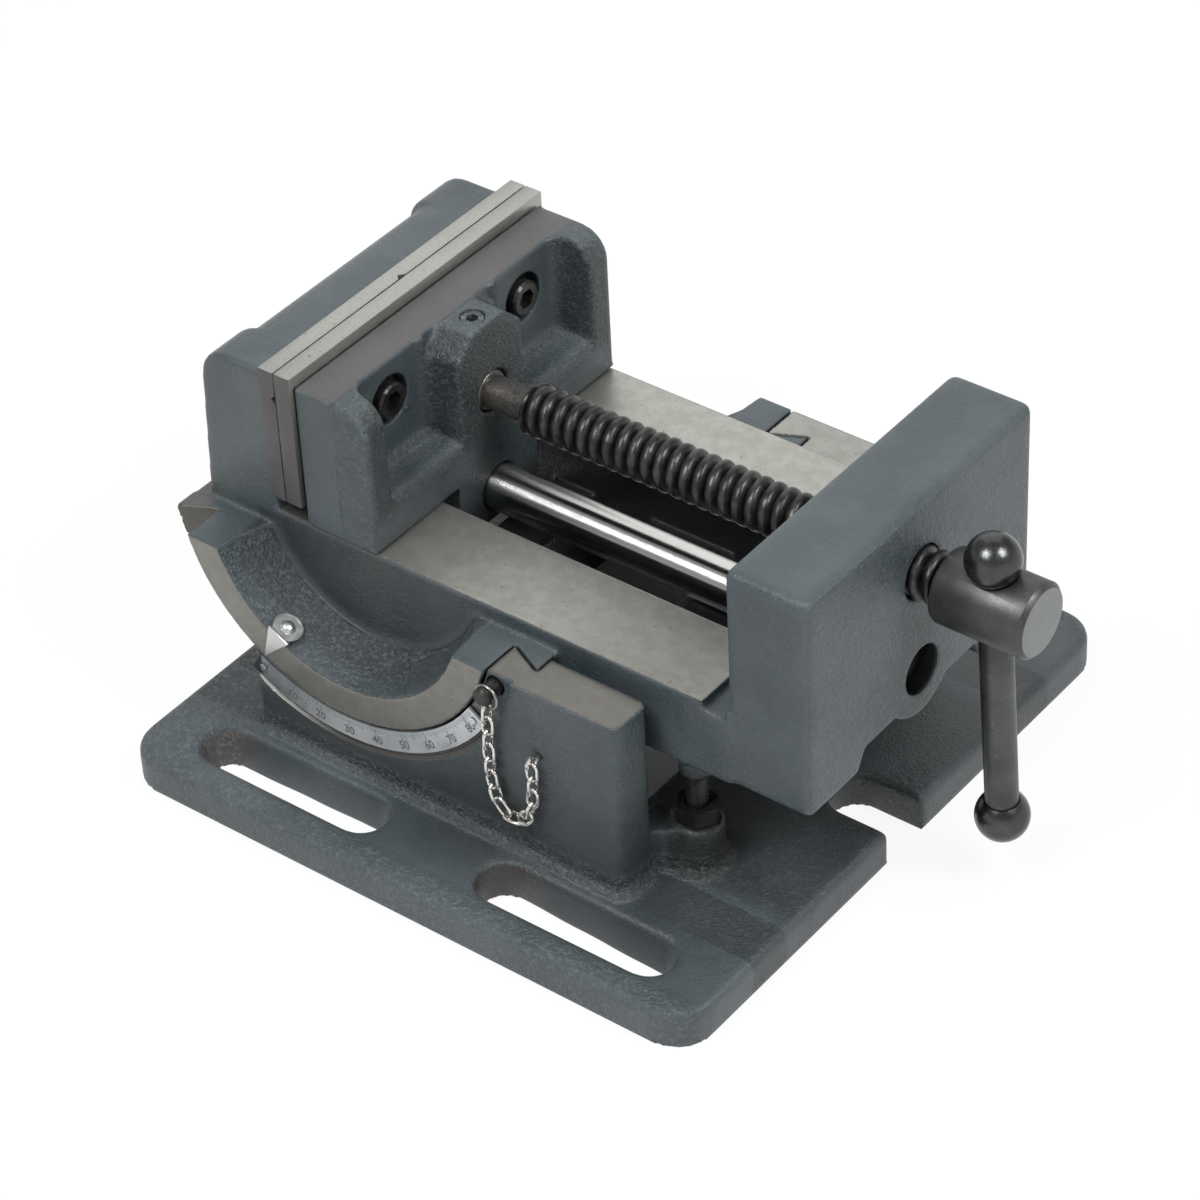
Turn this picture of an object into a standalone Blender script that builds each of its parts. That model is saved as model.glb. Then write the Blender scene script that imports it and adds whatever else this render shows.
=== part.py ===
"""Angle vise with 4 inch jaws. Its body tilts 90 degrees in a cradle, held by circular dovetails.

Lengths are in metres and +Z is up. Places are measured from the centre of the base plate's
underside: +X runs along the lead screw to the handle, -Y is the front with the degree scale.
"""

import functools
import math

import bmesh
import bpy
from mathutils import Matrix, Vector

# Clearances and steps that every piece shares
GAP = 0.0003
OVERRUN = 0.001
ROUND_STEPS = 24
DISC_STEPS = 60
CORNER_STEPS = 3
SIDES = (-1, 1)

# Base plate
PLATE_LENGTH = 0.1826
PLATE_WIDTH = 0.1864
PLATE_THICKNESS = 0.0105
PLATE_CORNER = 0.011
PLATE_EDGE = 0.002
SLOT_LENGTH = 0.060
SLOT_WIDTH = 0.014
SLOT_FROM_MIDDLE = 0.0457
SLOT_FROM_WALL = 0.012
RIM_FLARE = 0.0008
NOTCH_WIDTH = 0.015
NOTCH_DEPTH = 0.0223
WINDOW_LENGTH = 0.066
WINDOW_FROM_WALL = 0.0139
WINDOW_CORNER = 0.006

# Cradle walls
WALL_OUTER_SHARE = 0.349785
WALL_THICKNESS = 0.0133
WALL_LEFT = -0.066
WALL_RIGHT = 0.0517
WALL_BELOW_RAILS = 0.0046
WALL_CORNER = 0.0028
FOOT_FILLET = 0.0035
FOOT_STEPS = 4

# Circular dovetail: discs and rings of the body in the grooves of the walls
PIVOT_X = -0.0375
DISC_ABOVE_PLATE = 0.0068
DISC_RADIUS = 0.0607
TOOTH_HEIGHT = 0.0104
RING_WIDTH = 0.0098
GROOVE_ROOT_DEPTH = 0.0130
GROOVE_TIP_DEPTH = 0.0078
DISC_WEB = 0.007
BOWL_STEP = 0.0065
BOWL_FILLET = 0.0032
BOWL_DRAFT = 0.0020
BOWL_DRAFT_SHARE = 0.4
BOWL_FILLET_SHARES = (0.62, 0.24)

# Bed
BED_FROM_WALL = 0.0165
BED_THICKNESS = 0.0230
RAIL_BELOW_PIVOT = 0.0087
RAIL_INNER_SHARE = 0.451745
RAIL_WALL = 0.006
RAIL_ROOF = 0.0093
FLOOR_THICKNESS = 0.0037
BED_SLOT_LEFT = -0.062
FLOOR_RIBS = ((-0.035, -0.022), (-0.003, 0.023))
POCKET_LEFT = -0.050
POCKET_RIGHT = 0.048
BLOCK_RELIEF_LENGTH = 0.0069
BLOCK_RELIEF_DEPTH = 0.0025

# Nut block at the bed's right end
BLOCK_LEFT = 0.0721
BLOCK_THICKNESS = 0.0240
BLOCK_SIDE_STEP = 0.0005
BLOCK_CORNER = 0.0022
ARCH_HEIGHT = 0.0060
ARCH_FOOT = 0.0270
ARCH_SHOULDER = 0.0240
ROD_BOSS_RADIUS = 0.0136
ROD_BOSS_STEPS = 10

# Fixed jaw
FIXED_FACE = -0.0687
FIXED_BACK = -0.088
FIXED_BACK_LEAN = 0.0018
FIXED_SIDE_STEP = 0.0002
JAW_HEIGHT = 0.0429
JAW_BACK_ROUND = 0.0085
LUG_STEP = 0.0025
LUG_WIDTH = 0.0145

# Jaw plates and their screws
PLATE_FACE_MIDDLE = -0.0635
JAW_PLATE_SIDE_STEP = 0.0021
JAW_PLATE_LIFT = 0.0062
JAW_PLATE_PROUD = 0.0033
JAW_GROOVE_DROP = 0.0085
JAW_GROOVE_DEPTH = 0.0014
JAW_SCREW_HEIGHT_SHARE = 0.715618
SCREW_HEAD_RADIUS = 0.005
SCREW_HEAD_LENGTH = 0.006
SCREW_RADIUS = 0.003
SCREW_BITE = 0.0036
SOCKET_ACROSS = 0.005
SOCKET_DEPTH = 0.003
COUNTERBORE_RADIUS = 0.007
COUNTERBORE_DEPTH = 0.0052

# Moving jaw
MOVING_FACE = -0.058
MOVING_WEB = 0.0114
MOVING_LENGTH = 0.0225
MOVING_SIDE_STEP = 0.0008
CHEEK_THICKNESS = 0.0083
CHEEK_ROUND = 0.008
JAW_POCKET_FLOOR_SHARE = 0.296037
JAW_POCKET_FILLET = 0.0042
JAW_POCKET_LIP = 0.003
SCREW_BOSS_HALF_WIDTH = 0.0129
SCREW_BOSS_FLAT = 0.0065
SCREW_BOSS_CHAMFER = 0.0060
ROD_LUG_HALF_WIDTH = 0.016
ROD_LUG_ABOVE_FLOOR = 0.002

# Guide rod and its set screw
ROD_RADIUS = 0.0065
ROD_BELOW_RAILS = 0.00865
ROD_SOCKET_DEPTH = 0.013
ROD_RECESS = 0.004
ROD_CHAMFER = 0.0006
ROD_SCREW_LENGTH = 0.005

# Lead screw, in one piece with its hub
SCREW_HEIGHT_SHARE = 0.505828
THREAD_RADIUS = 0.007
THREAD_LEFT = -0.023
THREAD_RIGHT = 0.102
THREAD_CHAMFER = 0.001
NECK_RADIUS = 0.0051
JOURNAL_RADIUS = 0.0057
JOURNAL_LEFT = -0.056
JOURNAL_INSET = 0.001
HUB_LEFT = 0.1035
HUB_RIGHT = 0.130
HUB_RADIUS = 0.010
HUB_CHAMFER = 0.001
HUB_RELIEF_RADIUS = 0.006

# Retaining screw in the top of the jaw's boss
RETAINER_X = -0.041
RETAINER_TOP_INSET = 0.0006
RETAINER_LENGTH_SHARE = 0.62893
RETAINER_NOSE_RADIUS = 0.0014
RETAINER_GROOVE_RADIUS = 0.0044

# Sliding handle
HANDLE_X = 0.1166
HANDLE_LEAN = 4.3
BAR_RADIUS = 0.0043
BALL_RADIUS = 0.0071
BALL_SEAT = 0.0135
BALL_SPACING = 0.0847
BAR_BITE = 0.003

# Degree scale, set in a turned recess of the front wall
RECESS_MARGIN = 0.0015
RECESS_DEPTH = 0.001
SCALE_STEP = 0.0006
SCALE_WIDTH = 0.0061
SCALE_THICKNESS = 0.0007
SCALE_START = -122
SCALE_END = -33
RIVET_RADIUS = 0.0007
RIVET_HEAD_RADIUS = 0.0012
RIVET_HEAD_HEIGHT = 0.0004
RIVET_CROWN_SHARE = 0.7
RIVET_LENGTH = 0.003
RIVET_FROM_END = 2.6

# Pointer on the front ring
POINTER_ANGLE = -120.4
POINTER_TIP_STEP = 0.0016
POINTER_LENGTH = 0.011
POINTER_HALF_WIDTH = 0.0034
POINTER_THICKNESS = 0.0008
POINTER_TAB_LENGTH = 0.0064
POINTER_TAB_SHARE = 0.9
POINTER_SCREW_RADIUS = 0.0015
POINTER_SCREW_LENGTH = 0.005
POINTER_HEAD_RADIUS = 0.0036
POINTER_HEAD_HEIGHT = 0.0018
POINTER_DOME_SHARES = (0.45, 0.8, 1.0)

# Locking pin in the front post
PIN_ANGLE = -18.8
PIN_STEP = 0.0067
PIN_RADIUS = 0.0023
PIN_NECK_RADIUS = 0.0016
PIN_NECK_LENGTH = 0.0016
PIN_NECK_START = 0.0018
PIN_HEAD_RADIUS = 0.0026
PIN_HEAD_LENGTH = 0.0016
PIN_RING_BORE = 0.0030

# Safety chain from the pin's ring to an eye in the post
WIRE_RADIUS = 0.00047
LINK_LENGTH = 0.0068
LINK_PLAY = 0.0006
LINK_WIDTH = 0.0042
LINK_COUNT = 14
LOWEST_LINK = 8
CHAIN_SLOPE_LIMIT = 92
CHAIN_BEND_SHARE = 0.45
EYE_RADIUS = 0.0017
EYE_SHANK_RADIUS = 0.0008
EYE_SHANK_LENGTH = 0.006
WIRE_SIDES = 6
LINK_END_STEPS = 5

# Stop screw under the bed
STOP_X = 0.058
STOP_INSET = 0.0064
STOP_BOSS_RADIUS = 0.0068
STOP_BOSS_BELOW_PAD = 0.015
STOP_PAD_RADIUS = 0.0045
STOP_PAD_LENGTH = 0.0068
STOP_PAD_FLARE = 0.002
STOP_SCREW_RADIUS = 0.003
STOP_SCREW_DEPTH = 0.012
STOP_NUT_ACROSS = 0.010
STOP_NUT_HEIGHT = 0.005
STOP_TRAVEL = 0.004

# Clamp screw in the rear wall
CLAMP_ANGLE = -60
CLAMP_STEP = 0.0042
CLAMP_RADIUS = 0.004
CLAMP_HEAD_ACROSS = 0.013
CLAMP_HEAD_LENGTH = 0.0053
CLAMP_STAND_OFF = 0.0008

# Colour, roughness and metallic value of each finish
CAST_PAINT = ((0.070, 0.088, 0.100), 0.45, 0.0)
GROUND_STEEL = ((0.33, 0.32, 0.30), 0.38, 1.0)
BRIGHT_STEEL = ((0.62, 0.62, 0.62), 0.16, 1.0)
BLACK_STEEL = ((0.030, 0.031, 0.033), 0.30, 0.8)
NICKEL = ((0.62, 0.59, 0.54), 0.25, 1.0)
WHITE_SCALE = ((0.72, 0.74, 0.76), 0.35, 0.2)

# Places that follow from the sizes above
WALL_OUTER = WALL_OUTER_SHARE * PLATE_WIDTH
WALL_INNER = WALL_OUTER - WALL_THICKNESS
SLOT_FROM_AXIS = WALL_OUTER + SLOT_FROM_WALL
WINDOW_WIDTH = 2 * (WALL_INNER - WINDOW_FROM_WALL)
RING_RADIUS = DISC_RADIUS - TOOTH_HEIGHT
RING_BORE = RING_RADIUS - RING_WIDTH
BOWL_FLOOR_RADIUS = RING_BORE - BOWL_STEP
PIVOT_Z = PLATE_THICKNESS + DISC_ABOVE_PLATE + DISC_RADIUS
RAIL_TOP = PIVOT_Z - RAIL_BELOW_PIVOT
WALL_TOP = RAIL_TOP - WALL_BELOW_RAILS
BED_BOTTOM = RAIL_TOP - BED_THICKNESS
FLOOR_TOP = BED_BOTTOM + FLOOR_THICKNESS
BED_HALF_WIDTH = WALL_OUTER - BED_FROM_WALL
RAIL_INNER = RAIL_INNER_SHARE * BED_HALF_WIDTH
BLOCK_HALF_WIDTH = BED_HALF_WIDTH - BLOCK_SIDE_STEP
JAW_TOP = RAIL_TOP + JAW_HEIGHT
BLOCK_TOP = JAW_TOP
FIXED_HALF_WIDTH = BED_HALF_WIDTH - FIXED_SIDE_STEP
LUG_INNER = FIXED_HALF_WIDTH - LUG_WIDTH
JAW_PLATE_LENGTH = 2 * (BED_HALF_WIDTH + JAW_PLATE_SIDE_STEP)
JAW_PLATE_BOTTOM = RAIL_TOP + JAW_PLATE_LIFT
JAW_PLATE_TOP = JAW_TOP + JAW_PLATE_PROUD
JAW_GROOVE_Z = JAW_PLATE_TOP - JAW_GROOVE_DROP
MOVING_HALF_WIDTH = BED_HALF_WIDTH + MOVING_SIDE_STEP
CHEEK_INNER = MOVING_HALF_WIDTH - CHEEK_THICKNESS
JAW_SCREW_Y = (SCREW_BOSS_HALF_WIDTH + CHEEK_INNER) / 2
JAW_SCREW_Z = RAIL_TOP + JAW_SCREW_HEIGHT_SHARE * JAW_HEIGHT
JAW_POCKET_FLOOR = RAIL_TOP + JAW_POCKET_FLOOR_SHARE * JAW_HEIGHT
ROD_LUG_BOTTOM = FLOOR_TOP + ROD_LUG_ABOVE_FLOOR
ROD_Z = RAIL_TOP - ROD_BELOW_RAILS
SCREW_Z = RAIL_TOP + SCREW_HEIGHT_SHARE * JAW_HEIGHT
RETAINER_TOP = JAW_TOP - RETAINER_TOP_INSET
RETAINER_NOSE = SCREW_Z + RETAINER_GROOVE_RADIUS + GAP
RETAINER_LENGTH = RETAINER_LENGTH_SHARE * (RETAINER_TOP - RETAINER_NOSE)
SCALE_INNER = RING_RADIUS + SCALE_STEP
SCALE_OUTER = SCALE_INNER + SCALE_WIDTH
RECESS_RADIUS = SCALE_OUTER + RECESS_MARGIN
POINTER_TIP_RADIUS = RING_RADIUS - POINTER_TIP_STEP
POINTER_ROOT_RADIUS = POINTER_TIP_RADIUS - POINTER_LENGTH
PIN_RADIUS_ON_DISC = DISC_RADIUS - PIN_STEP
STOP_Y = STOP_INSET - BED_HALF_WIDTH
STOP_PAD_BOTTOM = BED_BOTTOM - STOP_PAD_LENGTH
STOP_BOSS_TOP = STOP_PAD_BOTTOM - STOP_BOSS_BELOW_PAD
CLAMP_FROM_PIVOT = DISC_RADIUS - CLAMP_STEP
GROOVE_ROOT_Y = WALL_OUTER - GROOVE_ROOT_DEPTH
GROOVE_TIP_Y = WALL_OUTER - GROOVE_TIP_DEPTH
BLOCK_RIGHT = BLOCK_LEFT + BLOCK_THICKNESS
PLATE_FACE_GAP = GAP / 2
FIXED_PLATE_FACE = PLATE_FACE_MIDDLE - PLATE_FACE_GAP
MOVING_PLATE_FACE = PLATE_FACE_MIDDLE + PLATE_FACE_GAP
MOVING_RIGHT = MOVING_FACE + MOVING_LENGTH
MOVING_WEB_BACK = MOVING_FACE + MOVING_WEB
DISC_TIP_X = PIVOT_X - math.sqrt(DISC_RADIUS ** 2 - (PIVOT_Z - WALL_TOP) ** 2)
FRAME_SHIFT = -(DISC_TIP_X + HUB_RIGHT) / 2
LINK_PITCH = LINK_LENGTH - 4 * WIRE_RADIUS - LINK_PLAY


def on_circle(radius, degrees):
    """Point (x, z) on a circle about the tilt axis."""
    angle = math.radians(degrees)
    return PIVOT_X + radius * math.cos(angle), PIVOT_Z + radius * math.sin(angle)


# Outlines


def arc(centre_a, centre_b, radius, start, end, steps):
    """Points on an arc, with angles in degrees, both ends included."""
    points = []
    for step in range(steps + 1):
        angle = math.radians(start + (end - start) * step / steps)
        points.append((centre_a + radius * math.cos(angle), centre_b + radius * math.sin(angle)))
    return points


def rectangle(a_low, a_high, b_low, b_high):
    return [(a_low, b_low), (a_high, b_low), (a_high, b_high), (a_low, b_high)]


def rounded_rectangle(a_low, a_high, b_low, b_high, radius, steps=CORNER_STEPS):
    corners = (
        (a_high - radius, b_low + radius, -90),
        (a_high - radius, b_high - radius, 0),
        (a_low + radius, b_high - radius, 90),
        (a_low + radius, b_low + radius, 180),
    )
    points = []
    for centre_a, centre_b, start in corners:
        points += arc(centre_a, centre_b, radius, start, start + 90, steps)
    return points


def slot_outline(centre_x, centre_y, length, width, steps=8):
    """A slot with round ends, along X."""
    reach = (length - width) / 2
    right = arc(centre_x + reach, centre_y, width / 2, -90, 90, steps)
    left = arc(centre_x - reach, centre_y, width / 2, 90, 270, steps)
    return right + left


def hexagon(centre_a, centre_b, across):
    return arc(centre_a, centre_b, across / math.sqrt(3), 0, 300, 5)


# Solids, each a bmesh


def loft(rings):
    """Solid through rings of equally many points, closed at both ends."""
    shape = bmesh.new()
    loops = [[shape.verts.new(point) for point in ring] for ring in rings]
    count = len(loops[0])
    for lower, upper in zip(loops, loops[1:]):
        for index in range(count):
            following = (index + 1) % count
            shape.faces.new((lower[index], lower[following], upper[following], upper[index]))
    shape.faces.new(reversed(loops[0]))
    shape.faces.new(loops[-1])
    bmesh.ops.recalc_face_normals(shape, faces=shape.faces)
    return shape


def at(axis, a, b, along):
    """Point whose place along the axis is given apart from its two other coordinates."""
    if axis == "X":
        return Vector((along, a, b))
    if axis == "Y":
        return Vector((a, along, b))
    return Vector((a, b, along))


def prism(outline, axis, low, high):
    return loft([[at(axis, a, b, along) for a, b in outline] for along in (low, high)])


def box(x_low, x_high, y_low, y_high, z_low, z_high):
    return prism(rectangle(x_low, x_high, y_low, y_high), "Z", z_low, z_high)


def turned(profile, axis, centre=(0, 0), steps=ROUND_STEPS):
    """Solid of revolution. The profile holds (radius, place along the axis).

    An end of the profile with radius 0 is a point, and any other end is a flat face.
    """
    shape = bmesh.new()
    rings = []
    for radius, along in profile:
        if radius == 0:
            rings.append([shape.verts.new(at(axis, centre[0], centre[1], along))])
            continue
        circle = arc(centre[0], centre[1], radius, 0, 360 - 360 / steps, steps - 1)
        rings.append([shape.verts.new(at(axis, a, b, along)) for a, b in circle])
    for first, second in zip(rings, rings[1:]):
        for index in range(steps):
            following = (index + 1) % steps
            corners = [first[index % len(first)], first[following % len(first)]]
            corners += [second[following % len(second)], second[index % len(second)]]
            shape.faces.new(list(dict.fromkeys(corners)))
    for end in (rings[0], rings[-1]):
        if len(end) > 1:
            shape.faces.new(end)
    bmesh.ops.recalc_face_normals(shape, faces=shape.faces)
    return shape


def cylinder(radius, axis, low, high, centre=(0, 0), steps=ROUND_STEPS):
    return turned([(radius, low), (radius, high)], axis, centre, steps)


def ball(radius, axis, along, centre=(0, 0), steps=ROUND_STEPS):
    half = arc(0, along, radius, -90, 90, steps // 2)
    profile = [(0, half[0][1])] + half[1:-1] + [(0, half[-1][1])]
    return turned(profile, axis, centre, steps)


def wire_loop(path, wire_radius=WIRE_RADIUS, sides=WIRE_SIDES):
    """Closed loop of round wire in the XY plane, along a path about the origin."""
    shape = bmesh.new()
    rings = []
    count = len(path)
    for index in range(count):
        before = Vector(path[index - 1])
        after = Vector(path[(index + 1) % count])
        along = (after - before).normalized()
        outward = Vector((along.y, -along.x, 0))
        centre = Vector((path[index][0], path[index][1], 0))
        ring = []
        for side in range(sides):
            angle = 2 * math.pi * (side + 0.5) / sides
            offset = outward * math.cos(angle) + Vector((0, 0, math.sin(angle)))
            ring.append(shape.verts.new(centre + wire_radius * offset))
        rings.append(ring)
    for first, second in zip(rings, rings[1:] + rings[:1]):
        for side in range(sides):
            following = (side + 1) % sides
            shape.faces.new((first[side], first[following], second[following], second[side]))
    bmesh.ops.recalc_face_normals(shape, faces=shape.faces)
    return shape


def ring_path(radius, steps):
    return arc(0, 0, radius, 0, 360 - 360 / steps, steps - 1)


def gathered(shapes):
    """Several solids that don't touch, as one bmesh."""
    whole = bmesh.new()
    for shape in shapes:
        mesh = bpy.data.meshes.new("gathered")
        shape.to_mesh(mesh)
        shape.free()
        whole.from_mesh(mesh)
        bpy.data.meshes.remove(mesh)
    return whole


def softened(shape, radius, chosen, steps=CORNER_STEPS):
    """The solid with the chosen edges rounded."""
    edges = [edge for edge in shape.edges if chosen(edge)]
    bmesh.ops.bevel(shape, geom=edges, offset=radius, segments=steps, profile=0.5, affect="EDGES")
    return shape


def runs_along(edge, direction):
    span = edge.verts[1].co - edge.verts[0].co
    return abs(span.normalized().dot(direction)) > 0.99


def turned_about(shape, rotation, centre):
    """The solid turned by a rotation matrix and moved to its centre."""
    shape.transform(Matrix.Translation(centre) @ rotation.to_4x4())
    return shape


# Scene objects


def finish(name, look):
    colour, roughness, metallic = look
    material = bpy.data.materials.new(name)
    material.use_nodes = True
    shader = material.node_tree.nodes["Principled BSDF"]
    shader.inputs["Base Color"].default_value = (*colour, 1)
    shader.inputs["Roughness"].default_value = roughness
    shader.inputs["Metallic"].default_value = metallic
    return material


def add_object(name, shape, parent):
    """Object with its origin at the vise's own, carried by a parent empty."""
    mesh = bpy.data.meshes.new(name)
    shape.to_mesh(mesh)
    shape.free()
    mesh.shade_smooth()
    mesh.set_sharp_from_angle(angle=math.radians(28))
    item = bpy.data.objects.new(name, mesh)
    bpy.context.scene.collection.objects.link(item)
    item.parent = parent
    item.location = -Vector(parent["place"])
    return item


def piece(name, shape, look, parent):
    item = add_object(name, shape, parent)
    item.data.materials.append(finish(name, look))
    return item


def combined(target, name, shape, operation):
    tool = add_object(name, shape, target.parent)
    tool.hide_render = True
    tool.display_type = "WIRE"
    tool.location = target.location
    modifier = target.modifiers.new(name, "BOOLEAN")
    modifier.operation = operation
    modifier.object = tool
    modifier.solver = "EXACT"


def cut(target, name, shape):
    combined(target, name, shape, "DIFFERENCE")


def join(target, name, shape):
    combined(target, name, shape, "UNION")


def pivot(name, place, parent=None):
    """Empty on a joint's axis. Its place is kept in the vise's own coordinates."""
    empty = bpy.data.objects.new(name, None)
    bpy.context.scene.collection.objects.link(empty)
    empty["place"] = place
    empty.location = Vector(place)
    if parent:
        empty.parent = parent
        empty.location -= Vector(parent["place"])
    return empty


# Base


def plate_shape():
    """Plate with round corners and a rounded top edge."""
    rings = []
    levels = [(0, 0)]
    for step in range(CORNER_STEPS + 1):
        angle = math.radians(90 * step / CORNER_STEPS)
        inset = PLATE_EDGE * (1 - math.cos(angle))
        levels.append((inset, PLATE_THICKNESS - PLATE_EDGE * (1 - math.sin(angle))))
    for inset, height in levels:
        half_x = PLATE_LENGTH / 2 - inset
        half_y = PLATE_WIDTH / 2 - inset
        outline = rounded_rectangle(-half_x, half_x, -half_y, half_y, PLATE_CORNER - inset, 5)
        rings.append([at("Z", a, b, height) for a, b in outline])
    return loft(rings)


def foot_levels(top):
    """Offset and height of the rings of an upright with a fillet at its foot."""
    levels = [(FOOT_FILLET, PLATE_THICKNESS - PLATE_EDGE)]
    for step in range(FOOT_STEPS + 1):
        angle = math.radians(90 * step / FOOT_STEPS)
        height = PLATE_THICKNESS + FOOT_FILLET * (1 - math.cos(angle))
        levels.append((FOOT_FILLET * (1 - math.sin(angle)), height))
    levels.append((0, top))
    return levels


def wall_shape(side):
    """Upright wall of the cradle, before its round groove is turned out."""
    y_low, y_high = sorted((side * WALL_INNER, side * WALL_OUTER))
    rings = []
    for offset, height in foot_levels(WALL_TOP):
        left = WALL_LEFT - offset
        right = WALL_RIGHT + offset
        outline = rounded_rectangle(left, right, y_low - offset, y_high + offset, WALL_CORNER + offset)
        rings.append([at("Z", a, b, height) for a, b in outline])
    return loft(rings)


def cradle_cutter(side):
    """Turned cutter with the lip's bore, the slanted flank of the groove and its outer wall."""
    lip_radius = RING_RADIUS + GAP
    groove_radius = DISC_RADIUS + GAP
    slope = (GROOVE_TIP_Y - GROOVE_ROOT_Y) / (DISC_RADIUS - RING_RADIUS)
    lip_y = GROOVE_ROOT_Y + slope * GAP + GAP
    groove_y = GROOVE_TIP_Y + slope * GAP + GAP
    profile = [
        (lip_radius, side * (WALL_OUTER + FOOT_FILLET + OVERRUN)),
        (lip_radius, side * lip_y),
        (groove_radius, side * groove_y),
        (groove_radius, side * (WALL_INNER - FOOT_FILLET - OVERRUN)),
    ]
    return turned(profile, "Y", (PIVOT_X, PIVOT_Z), DISC_STEPS)


def flared_slot(outline_at):
    """Cutter through the plate whose rim opens a little at the top."""
    levels = (
        (0, -OVERRUN),
        (0, PLATE_THICKNESS - RIM_FLARE),
        (2 * RIM_FLARE, PLATE_THICKNESS + RIM_FLARE),
    )
    return loft([[at("Z", a, b, height) for a, b in outline_at(offset)] for offset, height in levels])


def table_slot(x_side, y_side):
    def outline(offset):
        centre_x = x_side * SLOT_FROM_MIDDLE
        centre_y = y_side * SLOT_FROM_AXIS
        return slot_outline(centre_x, centre_y, SLOT_LENGTH + 2 * offset, SLOT_WIDTH + 2 * offset)

    return flared_slot(outline)


def end_notch(side):
    def outline(offset):
        length = 2 * (NOTCH_DEPTH + offset)
        return slot_outline(side * PLATE_LENGTH / 2, 0, length, NOTCH_WIDTH + 2 * offset)

    return flared_slot(outline)


def plate_cutters():
    cutters = [window_cutter()]
    for x_side in SIDES:
        cutters.append(end_notch(x_side))
        for y_side in SIDES:
            cutters.append(table_slot(x_side, y_side))
    return cutters


def window_cutter():
    def outline(offset):
        half_x = WINDOW_LENGTH / 2 + offset
        half_y = WINDOW_WIDTH / 2 + offset
        return rounded_rectangle(-half_x, half_x, -half_y, half_y, WINDOW_CORNER + offset)

    return flared_slot(outline)


def stop_boss_shape():
    """Round boss for the stop screw, with a fillet at its foot."""
    profile = [(STOP_BOSS_RADIUS + offset, height) for offset, height in foot_levels(STOP_BOSS_TOP)]
    return turned(profile, "Z", (STOP_X, STOP_Y))


def stop_web_shape():
    """Web from the stop boss to the inner face of the front wall."""
    wall_y = -WALL_INNER - WALL_CORNER
    left = WALL_RIGHT - STOP_BOSS_RADIUS
    outline = [
        (left, wall_y),
        (WALL_RIGHT - WALL_CORNER, wall_y),
        (STOP_X, STOP_Y - STOP_BOSS_RADIUS * math.cos(math.radians(30))),
        (STOP_X, STOP_Y + STOP_BOSS_RADIUS * math.cos(math.radians(30))),
        (left, STOP_Y),
    ]
    return prism(outline, "Z", PLATE_THICKNESS - PLATE_EDGE, STOP_BOSS_TOP - RIM_FLARE)


def pin_place():
    return on_circle(PIN_RADIUS_ON_DISC, PIN_ANGLE)


def clamp_place():
    return on_circle(CLAMP_FROM_PIVOT, CLAMP_ANGLE)


def rivet_places():
    middle = (SCALE_INNER + SCALE_OUTER) / 2
    low = on_circle(middle, SCALE_START + RIVET_FROM_END)
    high = on_circle(middle, SCALE_END - RIVET_FROM_END)
    return {"scale_rivet_low": low, "scale_rivet_high": high}


def make_base(parent):
    base = piece("base", plate_shape(), CAST_PAINT, parent)
    join(base, "front_wall", wall_shape(-1))
    join(base, "rear_wall", wall_shape(1))
    join(base, "stop_boss", stop_boss_shape())
    join(base, "stop_web", stop_web_shape())
    cut(base, "cradle_grooves", gathered([cradle_cutter(side) for side in SIDES]))
    cut(base, "plate_openings", gathered(plate_cutters()))
    recess_floor = -WALL_OUTER + RECESS_DEPTH
    front = -WALL_OUTER - FOOT_FILLET - OVERRUN
    recess = cylinder(RECESS_RADIUS, "Y", front, recess_floor, (PIVOT_X, PIVOT_Z), DISC_STEPS)
    cut(base, "scale_recess", recess)
    pin_bore = cylinder(PIN_RADIUS + GAP, "Y", front, -WALL_INNER, pin_place())
    eye_end = -WALL_OUTER + EYE_SHANK_LENGTH
    eye_place = (chain_end()[0], eye_height())
    eye_bore = cylinder(EYE_SHANK_RADIUS + GAP, "Y", front, eye_end, eye_place, 12)
    bores = [pin_bore, eye_bore]
    for place in rivet_places().values():
        bores.append(cylinder(RIVET_RADIUS + GAP, "Y", front, recess_floor + RIVET_LENGTH, place, 10))
    rear = WALL_OUTER + FOOT_FILLET + OVERRUN
    bores.append(cylinder(CLAMP_RADIUS + GAP, "Y", WALL_INNER, rear, clamp_place()))
    bores.append(
        cylinder(
            STOP_SCREW_RADIUS + GAP,
            "Z",
            STOP_BOSS_TOP - STOP_SCREW_DEPTH - STOP_TRAVEL - GAP,
            STOP_BOSS_TOP + OVERRUN,
            (STOP_X, STOP_Y),
        )
    )
    cut(base, "base_bores", gathered(bores))


# Degree scale and its rivets


def make_scale(parent):
    front = -WALL_OUTER
    back = -WALL_OUTER + SCALE_THICKNESS
    steps = 18
    inner = arc(PIVOT_X, PIVOT_Z, SCALE_INNER, SCALE_START, SCALE_END, steps)
    outer = arc(PIVOT_X, PIVOT_Z, SCALE_OUTER, SCALE_END, SCALE_START, steps)
    scale = piece("angle_scale", prism(inner + outer, "Y", front, back), WHITE_SCALE, parent)
    bores = []
    for name, place in rivet_places().items():
        bores.append(cylinder(RIVET_RADIUS + GAP, "Y", front - OVERRUN, back + OVERRUN, place, 10))
        dome = front - GAP
        profile = [
            (RIVET_CROWN_SHARE * RIVET_HEAD_RADIUS, dome - RIVET_CROWN_SHARE * RIVET_HEAD_HEIGHT),
            (RIVET_HEAD_RADIUS, dome),
            (RIVET_RADIUS, dome),
            (RIVET_RADIUS, back + RIVET_LENGTH - GAP),
        ]
        piece(name, turned(profile, "Y", place, 10), NICKEL, parent)
    cut(scale, "rivet_bores", gathered(bores))


# Stop screw and its nut


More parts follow.
